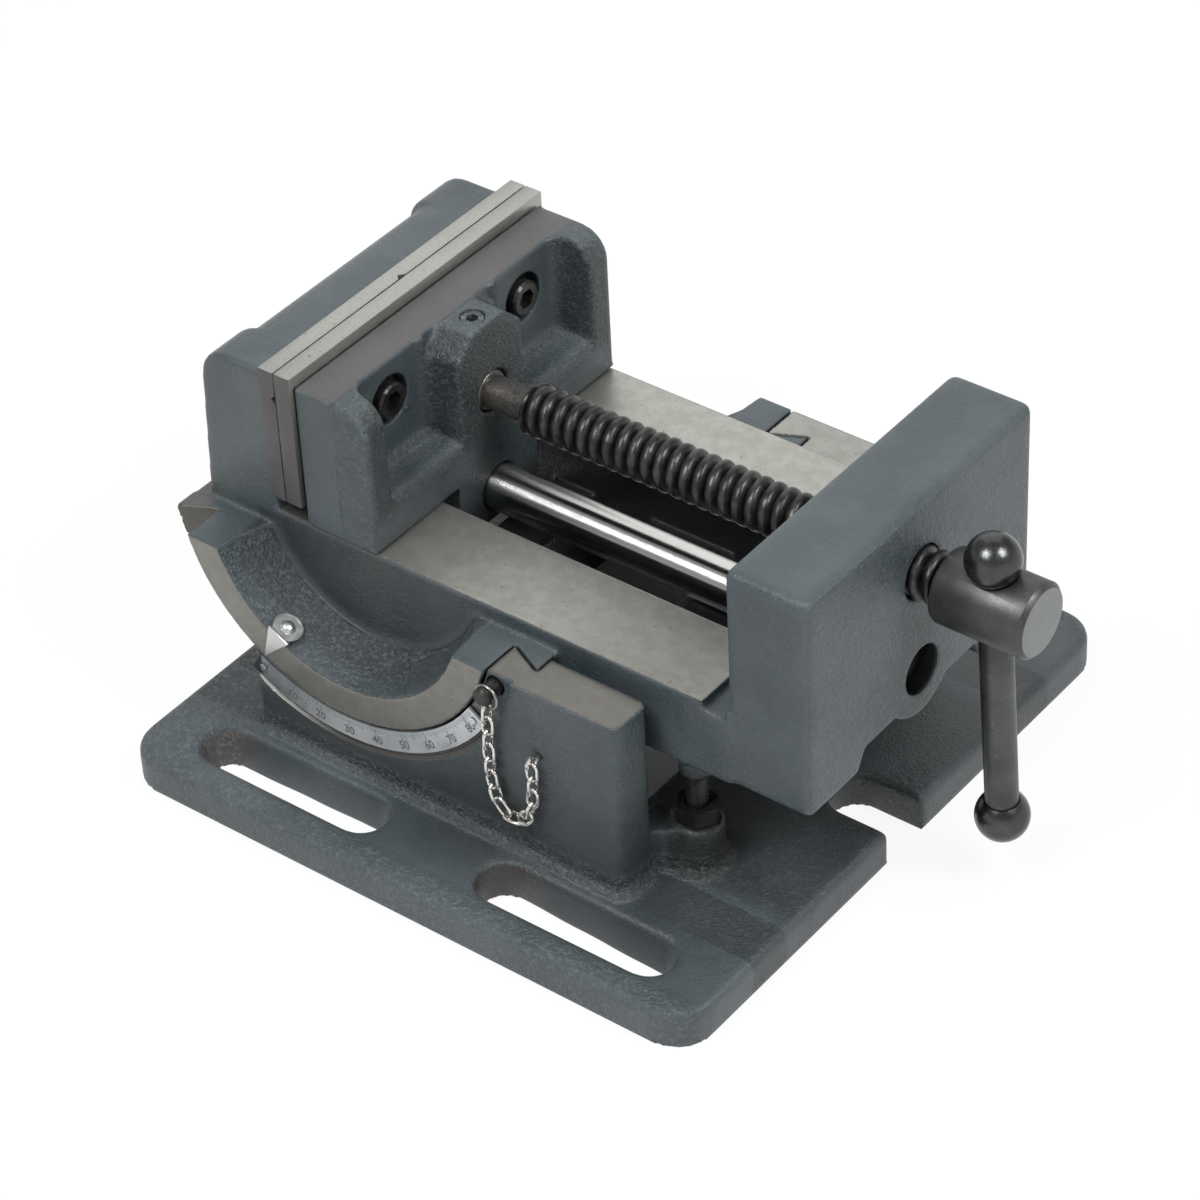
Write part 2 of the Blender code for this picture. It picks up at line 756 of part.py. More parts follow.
def make_stop_nut(parent):
    low = STOP_BOSS_TOP + GAP
    high = low + STOP_NUT_HEIGHT
    nut = prism(hexagon(STOP_X, STOP_Y, STOP_NUT_ACROSS), "Z", low, high)
    nut = piece("stop_nut", nut, BLACK_STEEL, parent)
    bore = cylinder(STOP_SCREW_RADIUS + GAP, "Z", low - OVERRUN, high + OVERRUN, (STOP_X, STOP_Y))
    cut(nut, "stop_nut_bore", bore)


def make_stop_screw(parent):
    top = STOP_PAD_BOTTOM - GAP
    profile = [
        (STOP_SCREW_RADIUS, STOP_BOSS_TOP - STOP_SCREW_DEPTH),
        (STOP_SCREW_RADIUS, top - ROD_CHAMFER),
        (STOP_SCREW_RADIUS - ROD_CHAMFER, top),
    ]
    piece("stop_screw", turned(profile, "Z", (STOP_X, STOP_Y)), BLACK_STEEL, parent)


def make_clamp_screw(parent):
    """Hexagon screw that presses on the slanted flank of the rear disc."""
    face = WALL_OUTER + CLAMP_STAND_OFF
    place = clamp_place()
    slope = (GROOVE_TIP_Y - GROOVE_ROOT_Y) / (DISC_RADIUS - RING_RADIUS)
    flank = GROOVE_ROOT_Y + slope * (CLAMP_FROM_PIVOT + CLAMP_RADIUS - RING_RADIUS)
    shank = cylinder(CLAMP_RADIUS, "Y", flank + GAP, face + CLAMP_HEAD_LENGTH / 2, place)
    clamp = piece("clamp_screw", shank, BLACK_STEEL, parent)
    head = prism(hexagon(*place, CLAMP_HEAD_ACROSS), "Y", face, face + CLAMP_HEAD_LENGTH)
    join(clamp, "clamp_head", head)


# Locking pin, its ring and its chain


def pin_neck_start():
    return -WALL_OUTER - PIN_NECK_START


def chain_y():
    return pin_neck_start() - PIN_NECK_LENGTH / 2


def make_lock_pin(parent):
    """Pin whose nose stops just short of the front disc's flank."""
    slope = (GROOVE_TIP_Y - GROOVE_ROOT_Y) / (DISC_RADIUS - RING_RADIUS)
    flank = GROOVE_ROOT_Y + slope * (PIN_RADIUS_ON_DISC + PIN_RADIUS - RING_RADIUS)
    neck = pin_neck_start()
    head = neck - PIN_NECK_LENGTH
    profile = [
        (PIN_RADIUS, -flank - GAP),
        (PIN_RADIUS, neck),
        (PIN_NECK_RADIUS, neck),
        (PIN_NECK_RADIUS, head),
        (PIN_HEAD_RADIUS, head),
        (PIN_HEAD_RADIUS, head - PIN_HEAD_LENGTH + ROD_CHAMFER),
        (PIN_HEAD_RADIUS - ROD_CHAMFER, head - PIN_HEAD_LENGTH),
    ]
    piece("lock_pin", turned(profile, "Y", pin_place()), BLACK_STEEL, parent)


def pin_ring_centre():
    pin_x, pin_z = pin_place()
    return Vector((pin_x, chain_y(), pin_z + PIN_NECK_RADIUS + GAP - PIN_RING_BORE))


def make_pin_ring(parent):
    """Wire ring that hangs on the pin's neck, square to the pin."""
    shape = wire_loop(ring_path(PIN_RING_BORE + WIRE_RADIUS, 20))
    upright = Matrix.Rotation(math.radians(90), 3, "X")
    piece("pin_ring", turned_about(shape, upright, pin_ring_centre()), NICKEL, parent)


def link_overlap():
    """How far the middle of a link's end wire lies past the point where two links meet."""
    return LINK_LENGTH / 2 - WIRE_RADIUS - LINK_PITCH / 2


def chain_joints():
    """Points where the links meet. Away from the lowest link they hang ever steeper."""
    ring = pin_ring_centre()
    point = Vector((ring.x, ring.z - PIN_RING_BORE - WIRE_RADIUS + link_overlap()))
    joints = [point]
    for index in range(LINK_COUNT):
        steepness = CHAIN_SLOPE_LIMIT * (1 - CHAIN_BEND_SHARE ** abs(index - LOWEST_LINK))
        slope = math.copysign(math.radians(steepness), index - LOWEST_LINK)
        point = point + LINK_PITCH * Vector((math.cos(slope), math.sin(slope)))
        joints.append(point)
    return joints


def chain_end():
    return chain_joints()[-1]


def eye_height():
    """Height of the eye's middle, which carries the last link."""
    return chain_end()[1] - link_overlap() + EYE_RADIUS


def make_chain(parent):
    half_straight = (LINK_LENGTH - LINK_WIDTH) / 2
    bend = LINK_WIDTH / 2 - WIRE_RADIUS
    path = arc(half_straight, 0, bend, -90, 90, LINK_END_STEPS)
    path += arc(-half_straight, 0, bend, 90, 270, LINK_END_STEPS)
    joints = chain_joints()
    for index, (start, end) in enumerate(zip(joints, joints[1:])):
        middle = (start + end) / 2
        along = Vector((end[0] - start[0], 0, end[1] - start[1])).normalized()
        across = Vector((0, 1, 0))
        if index % 2:
            across = along.cross(across)
        turn = Matrix((along, across, along.cross(across))).transposed()
        shape = turned_about(wire_loop(path), turn, Vector((middle[0], chain_y(), middle[1])))
        piece(f"chain_link_{index + 1:02d}", shape, NICKEL, parent)


def make_chain_eye(parent):
    """Eye of wire with a shank that is driven into the post."""
    centre = Vector((chain_end()[0], chain_y(), eye_height()))
    upright = Matrix.Rotation(math.radians(90), 3, "Y")
    loop = turned_about(wire_loop(ring_path(EYE_RADIUS, 16)), upright, centre)
    eye = piece("chain_eye", loop, NICKEL, parent)
    shank_end = -WALL_OUTER + EYE_SHANK_LENGTH - GAP
    shank = cylinder(EYE_SHANK_RADIUS, "Y", centre.y + EYE_RADIUS, shank_end, (centre.x, centre.z), 12)
    join(eye, "eye_shank", shank)


# Vise body


def fixed_jaw_outline(step_out):
    """Side view of the fixed jaw, with its leaning back and round top edge."""
    back = FIXED_BACK - step_out
    low_back = back - FIXED_BACK_LEAN
    crown = arc(back + JAW_BACK_ROUND, JAW_TOP - JAW_BACK_ROUND, JAW_BACK_ROUND, 90, 180, 4)
    face = [(FIXED_FACE, BED_BOTTOM), (FIXED_FACE, JAW_TOP)]
    return face + crown + [(low_back, RAIL_TOP), (low_back, BED_BOTTOM)]


def fixed_jaw_shape():
    return prism(fixed_jaw_outline(0), "Y", -FIXED_HALF_WIDTH, FIXED_HALF_WIDTH)


def jaw_lug_shape(side):
    """End of the fixed jaw, which stands out a little at the back."""
    low, high = sorted((side * LUG_INNER, side * (FIXED_HALF_WIDTH + GAP)))
    return prism(fixed_jaw_outline(LUG_STEP), "Y", low, high)


def nut_block_shape():
    """Block with two legs, an arch and a round boss under the guide rod."""
    arch_top = BED_BOTTOM + ARCH_HEIGHT
    boss_angle = math.degrees(math.asin((arch_top - ROD_Z) / ROD_BOSS_RADIUS))
    boss = arc(0, ROD_Z, ROD_BOSS_RADIUS, -180 - boss_angle, boss_angle, ROD_BOSS_STEPS)
    outline = [(-BLOCK_HALF_WIDTH, BED_BOTTOM), (-ARCH_FOOT, BED_BOTTOM), (-ARCH_SHOULDER, arch_top)]
    outline += boss
    outline += [(ARCH_SHOULDER, arch_top), (ARCH_FOOT, BED_BOTTOM), (BLOCK_HALF_WIDTH, BED_BOTTOM)]
    outline += [(BLOCK_HALF_WIDTH, BLOCK_TOP), (-BLOCK_HALF_WIDTH, BLOCK_TOP)]
    shape = prism(outline, "X", BLOCK_LEFT, BLOCK_RIGHT)

    def outer_edge(edge):
        middle = (edge.verts[0].co + edge.verts[1].co) / 2
        at_side = abs(abs(middle.y) - BLOCK_HALF_WIDTH) < GAP
        at_top = abs(middle.z - BLOCK_TOP) < GAP
        return at_side or at_top

    return softened(shape, BLOCK_CORNER, outer_edge)


def bowl_profile(side):
    """Web, bowl, ring and slanted tooth of a dovetail disc, turned about the tilt axis."""
    floor = BED_HALF_WIDTH
    radial_share, axial_share = BOWL_FILLET_SHARES
    fillet = [
        (BOWL_FLOOR_RADIUS, floor),
        (BOWL_FLOOR_RADIUS + radial_share * BOWL_FILLET, floor + axial_share * BOWL_FILLET),
        (BOWL_FLOOR_RADIUS + BOWL_FILLET, floor + BOWL_FILLET),
    ]
    profile = fillet + [
        (RING_BORE - BOWL_DRAFT_SHARE * BOWL_DRAFT, (floor + BOWL_FILLET + WALL_OUTER) / 2),
        (RING_BORE, WALL_OUTER),
        (RING_RADIUS, WALL_OUTER),
        (RING_RADIUS, GROOVE_ROOT_Y),
        (DISC_RADIUS, GROOVE_TIP_Y),
        (DISC_RADIUS, floor - DISC_WEB),
    ]
    return [(radius, side * along) for radius, along in profile]


def disc_shape(side):
    """Dovetail disc, flat on top where the walls end."""
    return turned(bowl_profile(side), "Y", (PIVOT_X, PIVOT_Z), DISC_STEPS)


def disc_top_cutter(side):
    low, high = sorted((side * (BED_HALF_WIDTH - DISC_WEB - OVERRUN), side * (WALL_OUTER + OVERRUN)))
    reach = DISC_RADIUS + OVERRUN
    return box(PIVOT_X - reach, PIVOT_X + reach, low, high, WALL_TOP, PIVOT_Z + reach)


def bed_openings():
    """Openings between the floor ribs and the hollows under the rails."""
    low = BED_BOTTOM - OVERRUN
    stops = [BED_SLOT_LEFT]
    for start, end in FLOOR_RIBS:
        stops += [start, end]
    stops.append(BLOCK_LEFT - OVERRUN)
    cutters = []
    for start, end in zip(stops[::2], stops[1::2]):
        cutters.append(box(start, end, -RAIL_INNER, RAIL_INNER, low, FLOOR_TOP + OVERRUN))
    for side in SIDES:
        y_low, y_high = sorted((side * (RAIL_INNER + RAIL_WALL), side * (BED_HALF_WIDTH - DISC_WEB)))
        hollow = box(POCKET_LEFT, POCKET_RIGHT, y_low, y_high, low, RAIL_TOP - RAIL_ROOF)
        upright_edges = functools.partial(runs_along, direction=Vector((0, 0, 1)))
        cutters.append(softened(hollow, JAW_POCKET_LIP, upright_edges))
    return cutters


def stop_pad_shape():
    profile = [
        (STOP_PAD_RADIUS, STOP_PAD_BOTTOM),
        (STOP_PAD_RADIUS, BED_BOTTOM - STOP_PAD_FLARE),
        (STOP_PAD_RADIUS + STOP_PAD_FLARE, BED_BOTTOM + STOP_PAD_FLARE),
    ]
    return turned(profile, "Z", (STOP_X, STOP_Y))


def fixed_screw_seat():
    return FIXED_BACK + COUNTERBORE_DEPTH


def body_bores():
    """Bores for the lead screw, the guide rod and the fixed jaw's screws."""
    right = BLOCK_RIGHT + OVERRUN
    thread = cylinder(THREAD_RADIUS + GAP, "X", BLOCK_LEFT - OVERRUN, right, (0, SCREW_Z))
    rod = cylinder(ROD_RADIUS + GAP, "X", FIXED_FACE - ROD_SOCKET_DEPTH, right, (0, ROD_Z))
    bores = [thread, rod]
    for side in SIDES:
        centre = (side * JAW_SCREW_Y, JAW_SCREW_Z)
        seat = fixed_screw_seat()
        profile = [
            (COUNTERBORE_RADIUS, FIXED_BACK - LUG_STEP - FIXED_BACK_LEAN),
            (COUNTERBORE_RADIUS, seat),
            (SCREW_RADIUS + GAP, seat),
            (SCREW_RADIUS + GAP, FIXED_FACE + OVERRUN),
        ]
        bores.append(turned(profile, "X", centre))
    return bores


def rod_screw_x():
    return (BLOCK_LEFT + BLOCK_RIGHT) / 2


def pointer_seat_radius(y):
    """Radius of the front ring's drafted bore at a place along the tilt axis."""
    inner_y = (BED_HALF_WIDTH + BOWL_FILLET + WALL_OUTER) / 2
    share = (WALL_OUTER - abs(y)) / (WALL_OUTER - inner_y)
    return RING_BORE - BOWL_DRAFT_SHARE * BOWL_DRAFT * share


def pointer_frame(y):
    """Place on the pointer's line and the directions outward and across, for a place along Y."""
    angle = math.radians(POINTER_ANGLE)
    outward = Vector((math.cos(angle), 0, math.sin(angle)))
    across = Vector((-math.sin(angle), 0, math.cos(angle)))
    centre = Vector((PIVOT_X, y, PIVOT_Z))
    return centre, outward, across


def pointer_screw_y():
    return -WALL_OUTER + POINTER_TAB_LENGTH / 2


def radial_cylinder(radius, inner, outer, y, steps=12):
    """Cylinder square to the tilt axis, on the pointer's line."""
    centre, outward, across = pointer_frame(y)
    turn = Matrix((across, outward.cross(across), outward)).transposed()
    return turned_about(cylinder(radius, "Z", inner, outer, steps=steps), turn, centre)


def make_vise_body(parent):
    discs = gathered([disc_shape(side) for side in SIDES])
    body = piece("vise_body", discs, CAST_PAINT, parent)
    cut(body, "disc_tops", gathered([disc_top_cutter(side) for side in SIDES]))
    bed = box(FIXED_BACK, BLOCK_LEFT + OVERRUN, -BED_HALF_WIDTH, BED_HALF_WIDTH, BED_BOTTOM, RAIL_TOP)
    join(body, "bed", bed)
    join(body, "fixed_jaw", fixed_jaw_shape())
    for name, side in (("front_lug", -1), ("rear_lug", 1)):
        join(body, name, jaw_lug_shape(side))
    channel_end = BLOCK_LEFT + 2 * OVERRUN
    channel_top = RAIL_TOP + OVERRUN
    channel = box(BED_SLOT_LEFT, channel_end, -RAIL_INNER, RAIL_INNER, FLOOR_TOP, channel_top)
    cut(body, "bed_channel", channel)
    cut(body, "bed_openings", gathered(bed_openings()))
    join(body, "nut_block", nut_block_shape())
    join(body, "stop_pad", stop_pad_shape())
    relief = box(
        BLOCK_LEFT - BLOCK_RELIEF_LENGTH,
        BLOCK_LEFT,
        -BED_HALF_WIDTH - OVERRUN,
        BED_HALF_WIDTH + OVERRUN,
        RAIL_TOP - BLOCK_RELIEF_DEPTH,
        channel_top,
    )
    cut(body, "block_relief", relief)
    cut(body, "body_bores", gathered(body_bores()))
    boss_bottom = ROD_Z - ROD_BOSS_RADIUS
    place = (rod_screw_x(), 0)
    rod_screw_bore = cylinder(SCREW_RADIUS + GAP, "Z", boss_bottom - OVERRUN, ROD_Z, place, 16)
    cut(body, "rod_screw_bore", rod_screw_bore)
    y = pointer_screw_y()
    seat = pointer_seat_radius(y)
    depth = POINTER_SCREW_LENGTH + GAP
    bore = radial_cylinder(POINTER_SCREW_RADIUS + GAP, seat - OVERRUN, seat + depth, y)
    cut(body, "pointer_bore", bore)


# Jaw plates, screws and rod


def jaw_plate(name, face, back, grooved, parent):
    """Hardened jaw plate with two blind threaded holes in its back."""
    low, high = sorted((face, back))
    half = JAW_PLATE_LENGTH / 2
    shape = box(low, high, -half, half, JAW_PLATE_BOTTOM, JAW_PLATE_TOP)
    plate = piece(name, shape, GROUND_STEEL, parent)
    inward = 1 if back > face else -1
    bores = []
    for side in SIDES:
        centre = (side * JAW_SCREW_Y, JAW_SCREW_Z)
        ends = sorted((back + inward * OVERRUN, back - inward * (SCREW_BITE + GAP)))
        bores.append(cylinder(SCREW_RADIUS + GAP, "X", *ends, centre, 16))
    cut(plate, name + "_bores", gathered(bores))
    if not grooved:
        return
    past = face - inward * OVERRUN
    root = face + inward * JAW_GROOVE_DEPTH
    width = JAW_GROOVE_DEPTH + OVERRUN
    flat = [(past, JAW_GROOVE_Z - width), (root, JAW_GROOVE_Z), (past, JAW_GROOVE_Z + width)]
    cut(plate, "level_groove", prism(flat, "Y", -half - OVERRUN, half + OVERRUN))
    upright = [(past, -width), (root, 0), (past, width)]
    upright_groove = prism(upright, "Z", JAW_PLATE_BOTTOM - OVERRUN, JAW_PLATE_TOP + OVERRUN)
    cut(plate, "upright_groove", upright_groove)


def cap_screw(name, seat, inward, shank_end, centre, parent):
    """Socket head screw along X. The head stands on its seat and the shank runs inward."""
    under = seat - inward * GAP
    top = under - inward * SCREW_HEAD_LENGTH
    profile = [
        (SCREW_HEAD_RADIUS - ROD_CHAMFER, top),
        (SCREW_HEAD_RADIUS, top + inward * ROD_CHAMFER),
        (SCREW_HEAD_RADIUS, under),
        (SCREW_RADIUS, under),
        (SCREW_RADIUS, shank_end),
    ]
    screw = piece(name, turned(profile, "X", centre, 20), BLACK_STEEL, parent)
    ends = sorted((top - inward * OVERRUN, top + inward * SOCKET_DEPTH))
    cut(screw, name + "_socket", prism(hexagon(*centre, SOCKET_ACROSS), "X", *ends))


def make_jaw_fittings(body, jaw):
    """Both jaw plates and the four screws that hold them."""
    jaw_plate("fixed_jaw_plate", FIXED_PLATE_FACE, FIXED_FACE + GAP, True, body)
    jaw_plate("moving_jaw_plate", MOVING_PLATE_FACE, MOVING_FACE - GAP, False, jaw)
    moving_seat = MOVING_WEB_BACK - COUNTERBORE_DEPTH
    for end, side in (("front", -1), ("rear", 1)):
        centre = (side * JAW_SCREW_Y, JAW_SCREW_Z)
        fixed_end = FIXED_FACE + GAP + SCREW_BITE
        moving_end = MOVING_FACE - GAP - SCREW_BITE
        cap_screw(f"fixed_jaw_screw_{end}", fixed_screw_seat(), 1, fixed_end, centre, body)
        cap_screw(f"moving_jaw_screw_{end}", moving_seat, -1, moving_end, centre, jaw)


def make_guide_rod(parent):
    left = FIXED_FACE - ROD_SOCKET_DEPTH + GAP
    right = BLOCK_RIGHT - ROD_RECESS
    profile = [
        (ROD_RADIUS - ROD_CHAMFER, left),
        (ROD_RADIUS, left + ROD_CHAMFER),
        (ROD_RADIUS, right - ROD_CHAMFER),
        (ROD_RADIUS - ROD_CHAMFER, right),
    ]
    piece("guide_rod", turned(profile, "X", (0, ROD_Z)), BRIGHT_STEEL, parent)
    top = ROD_Z - ROD_RADIUS - GAP
    screw = cylinder(SCREW_RADIUS, "Z", top - ROD_SCREW_LENGTH, top, (rod_screw_x(), 0), 16)
    screw = piece("rod_set_screw", screw, BLACK_STEEL, parent)
    low = top - ROD_SCREW_LENGTH - OVERRUN
    socket = prism(hexagon(rod_screw_x(), 0, SCREW_RADIUS), "Z", low, top - ROD_SCREW_LENGTH / 2)
    cut(screw, "rod_set_screw_socket", socket)


# Pointer


def make_pointer(parent):
    """Bent plate: a triangle on the ring's face and a tab in its bore, with a domed screw."""
    back = -WALL_OUTER - GAP
    centre, outward, across = pointer_frame(0)
    corners = [
        centre + outward * POINTER_ROOT_RADIUS - across * POINTER_HALF_WIDTH,
        centre + outward * POINTER_TIP_RADIUS,
        centre + outward * POINTER_ROOT_RADIUS + across * POINTER_HALF_WIDTH,
    ]
    outline = [(corner.x, corner.z) for corner in corners]
    pointer = piece("pointer", prism(outline, "Y", back - POINTER_THICKNESS, back), NICKEL, parent)
    rings = []
    for y in (back - POINTER_THICKNESS / 2, -WALL_OUTER + POINTER_TAB_LENGTH):
        outer = pointer_seat_radius(y) - GAP
        inner = outer - POINTER_THICKNESS
        place, outward, across = pointer_frame(y)
        reach = across * POINTER_TAB_SHARE * POINTER_HALF_WIDTH
        rings.append(
            [
                place + outward * inner - reach,
                place + outward * outer - reach,
                place + outward * outer + reach,
                place + outward * inner + reach,
            ]
        )
    join(pointer, "pointer_tab", loft(rings))
    y = pointer_screw_y()
    seat = pointer_seat_radius(y)
    bore = radial_cylinder(POINTER_SCREW_RADIUS + GAP, seat - 4 * POINTER_THICKNESS, seat + OVERRUN, y)
    cut(pointer, "pointer_tab_bore", bore)
    under = seat - 2 * GAP - POINTER_THICKNESS - GAP
    profile = [(0, under - POINTER_HEAD_HEIGHT)]
    for share in POINTER_DOME_SHARES:
        drop = POINTER_HEAD_HEIGHT * math.sqrt(1 - share ** 2)
        profile.append((POINTER_HEAD_RADIUS * share, under - drop))
    profile += [
        (POINTER_SCREW_RADIUS, under),
        (POINTER_SCREW_RADIUS, seat + POINTER_SCREW_LENGTH),
    ]
    centre, outward, across = pointer_frame(y)
    turn = Matrix((across, outward.cross(across), outward)).transposed()
    screw = turned_about(turned(profile, "Z", steps=16), turn, centre)
    piece("pointer_screw", screw, NICKEL, parent)


# Moving jaw


def jaw_pocket_cutter(side):
    """Pocket beside the screw boss, open at the top and to the right, with round inner corners."""
    y_low, y_high = sorted((side * SCREW_BOSS_HALF_WIDTH, side * CHEEK_INNER))
    front = MOVING_RIGHT + OVERRUN
    lip_x = MOVING_RIGHT - JAW_POCKET_LIP
    lip_z = JAW_POCKET_FLOOR - JAW_POCKET_LIP
    lip = arc(lip_x, lip_z, JAW_POCKET_LIP, 90, 15, 3)
    outline = [(MOVING_WEB_BACK, JAW_TOP + OVERRUN), (MOVING_WEB_BACK, JAW_POCKET_FLOOR)]
    outline += lip + [(front, lip[-1][1]), (front, JAW_TOP + OVERRUN)]
    shape = prism(outline, "Y", y_low, y_high)

    def inner_corner(edge):
        first, second = (vert.co for vert in edge.verts)
        at_back = max(abs(first.x - MOVING_WEB_BACK), abs(second.x - MOVING_WEB_BACK)) < GAP
        below_top = min(first.z, second.z) < JAW_TOP
        return at_back and below_top

    return softened(shape, JAW_POCKET_FILLET, inner_corner)


def boss_chamfer_cutter(side):
    low = JAW_TOP - SCREW_BOSS_CHAMFER
    spread = SCREW_BOSS_HALF_WIDTH - SCREW_BOSS_FLAT
    rise = SCREW_BOSS_CHAMFER
    outline = [
        (side * (SCREW_BOSS_HALF_WIDTH + OVERRUN), low - rise * OVERRUN / spread),
        (side * (SCREW_BOSS_HALF_WIDTH + OVERRUN), JAW_TOP + OVERRUN),
        (side * (SCREW_BOSS_FLAT - spread * OVERRUN / rise), JAW_TOP + OVERRUN),
    ]
    return prism(outline, "X", MOVING_WEB_BACK, MOVING_RIGHT + OVERRUN)


def moving_jaw_shape():
    """Side view of the moving jaw's casting, with its round top corner, drawn out across the bed."""
    right = MOVING_RIGHT
    corner = arc(right - CHEEK_ROUND, JAW_TOP - CHEEK_ROUND, CHEEK_ROUND, 0, 90, 4)
    bottom = RAIL_TOP + GAP
    outline = [(MOVING_FACE, bottom), (right, bottom)] + corner + [(MOVING_FACE, JAW_TOP)]
    return prism(outline, "Y", -MOVING_HALF_WIDTH, MOVING_HALF_WIDTH)


def screw_boss_shape():
    """Square front of the screw boss, between the round corners of the cheeks."""
    half = SCREW_BOSS_HALF_WIDTH
    bottom = JAW_POCKET_FLOOR - OVERRUN
    return box(MOVING_WEB_BACK - OVERRUN, MOVING_RIGHT, -half, half, bottom, JAW_TOP)


def moving_jaw_bores():
    front = MOVING_RIGHT + OVERRUN
    rod = cylinder(ROD_RADIUS + GAP, "X", MOVING_FACE - OVERRUN, front, (0, ROD_Z))
    journal = cylinder(JOURNAL_RADIUS + GAP, "X", JOURNAL_LEFT - GAP, front, (0, SCREW_Z))
    bores = [rod, journal]
    for side in SIDES:
        seat = MOVING_WEB_BACK - COUNTERBORE_DEPTH
        profile = [
            (SCREW_RADIUS + GAP, MOVING_FACE - OVERRUN),
            (SCREW_RADIUS + GAP, seat),
            (COUNTERBORE_RADIUS, seat),
            (COUNTERBORE_RADIUS, MOVING_WEB_BACK + COUNTERBORE_DEPTH),
        ]
        bores.append(turned(profile, "X", (side * JAW_SCREW_Y, JAW_SCREW_Z)))
    return bores


def make_moving_jaw(parent):
    jaw = piece("moving_jaw", moving_jaw_shape(), CAST_PAINT, parent)
    lug = box(
        MOVING_FACE,
        MOVING_RIGHT,
        -ROD_LUG_HALF_WIDTH,
        ROD_LUG_HALF_WIDTH,
        ROD_LUG_BOTTOM,
        RAIL_TOP + JAW_POCKET_LIP,
    )
    level_edges = functools.partial(runs_along, direction=Vector((1, 0, 0)))
    join(jaw, "rod_lug", softened(lug, JAW_POCKET_LIP, level_edges))
    cut(jaw, "jaw_pockets", gathered([jaw_pocket_cutter(side) for side in SIDES]))
    join(jaw, "screw_boss", screw_boss_shape())
    cut(jaw, "boss_chamfers", gathered([boss_chamfer_cutter(side) for side in SIDES]))
    cut(jaw, "jaw_bores", gathered(moving_jaw_bores()))
    retainer_bore = cylinder(SCREW_RADIUS + GAP, "Z", SCREW_Z, JAW_TOP + OVERRUN, (RETAINER_X, 0), 16)
    cut(jaw, "retainer_bore", retainer_bore)


def make_retaining_screw(parent):
    """Set screw whose nose stands in the groove of the lead screw's journal."""
    top = RETAINER_TOP
    shoulder = top - RETAINER_LENGTH
    profile = [
        (RETAINER_NOSE_RADIUS, RETAINER_NOSE),
        (RETAINER_NOSE_RADIUS, shoulder),
        (SCREW_RADIUS, shoulder),
        (SCREW_RADIUS, top),
    ]
    screw = piece("retaining_screw", turned(profile, "Z", (RETAINER_X, 0), 16), BLACK_STEEL, parent)
    socket = prism(hexagon(RETAINER_X, 0, SCREW_RADIUS), "Z", top - SOCKET_DEPTH, top + OVERRUN)
    cut(screw, "retaining_screw_socket", socket)


# Lead screw and handle


def handle_turn():
    """Rotation from an upright bar to the leaning one."""
    return Matrix.Rotation(math.radians(HANDLE_LEAN), 3, "X")


def make_lead_screw(parent):
    groove = RETAINER_NOSE_RADIUS + GAP
    neck_start = MOVING_RIGHT - JOURNAL_INSET
    profile = [
        (JOURNAL_RADIUS, JOURNAL_LEFT),
        (JOURNAL_RADIUS, RETAINER_X - groove),
        (RETAINER_GROOVE_RADIUS, RETAINER_X - groove),
        (RETAINER_GROOVE_RADIUS, RETAINER_X + groove),
        (JOURNAL_RADIUS, RETAINER_X + groove),
        (JOURNAL_RADIUS, neck_start),
        (NECK_RADIUS, neck_start),
        (NECK_RADIUS, THREAD_LEFT),
        (THREAD_RADIUS - THREAD_CHAMFER, THREAD_LEFT),
        (THREAD_RADIUS, THREAD_LEFT + THREAD_CHAMFER),
        (THREAD_RADIUS, THREAD_RIGHT),
        (HUB_RELIEF_RADIUS, THREAD_RIGHT),
        (HUB_RELIEF_RADIUS, HUB_LEFT),
        (HUB_RADIUS - HUB_CHAMFER, HUB_LEFT),
        (HUB_RADIUS, HUB_LEFT + HUB_CHAMFER),
        (HUB_RADIUS, HUB_RIGHT - HUB_CHAMFER),
        (HUB_RADIUS - HUB_CHAMFER, HUB_RIGHT),
    ]
    screw = piece("lead_screw", turned(profile, "X", (0, SCREW_Z), 32), BLACK_STEEL, parent)
    middle = Vector((HANDLE_X, 0, SCREW_Z))
    reach = HUB_RADIUS + OVERRUN
    bore = cylinder(BAR_RADIUS + GAP, "Z", -reach, reach)
    cut(screw, "handle_bore", turned_about(bore, handle_turn(), middle))
    seats = []
    for side in SIDES:
        seat = ball(BALL_RADIUS + GAP, "Z", side * BALL_SEAT, steps=16)
        seats.append(turned_about(seat, handle_turn(), middle))
    cut(screw, "ball_seats", gathered(seats))


def handle_ball_shape(side, along):
    """Ball with a blind bore for the bar's end. The bore opens toward the screw."""
    mouth_angle = math.degrees(math.asin((BAR_RADIUS + GAP) / BALL_RADIUS))
    outer = arc(0, 0, BALL_RADIUS, -90 + mouth_angle, 90, 9)
    bore_end = BAR_BITE + GAP
    profile = [(BAR_RADIUS + GAP, bore_end)] + outer[:-1] + [(0, BALL_RADIUS)]
    return turned([(radius, along + side * height) for radius, height in profile], "Z", steps=20)


def make_handle(parent):
    """Bar and its two balls, drawn upright about the screw's axis and then leaned over."""
    middle = Vector((HANDLE_X, 0, SCREW_Z))
    top = BALL_SEAT
    bottom = BALL_SEAT - BALL_SPACING
    bar = cylinder(BAR_RADIUS, "Z", bottom - BAR_BITE, top + BAR_BITE)
    piece("handle_bar", turned_about(bar, handle_turn(), middle), BLACK_STEEL, parent)
    for name, side, along in (("handle_ball_top", 1, top), ("handle_ball_bottom", -1, bottom)):
        shape = turned_about(handle_ball_shape(side, along), handle_turn(), middle)
        piece(name, shape, BLACK_STEEL, parent)


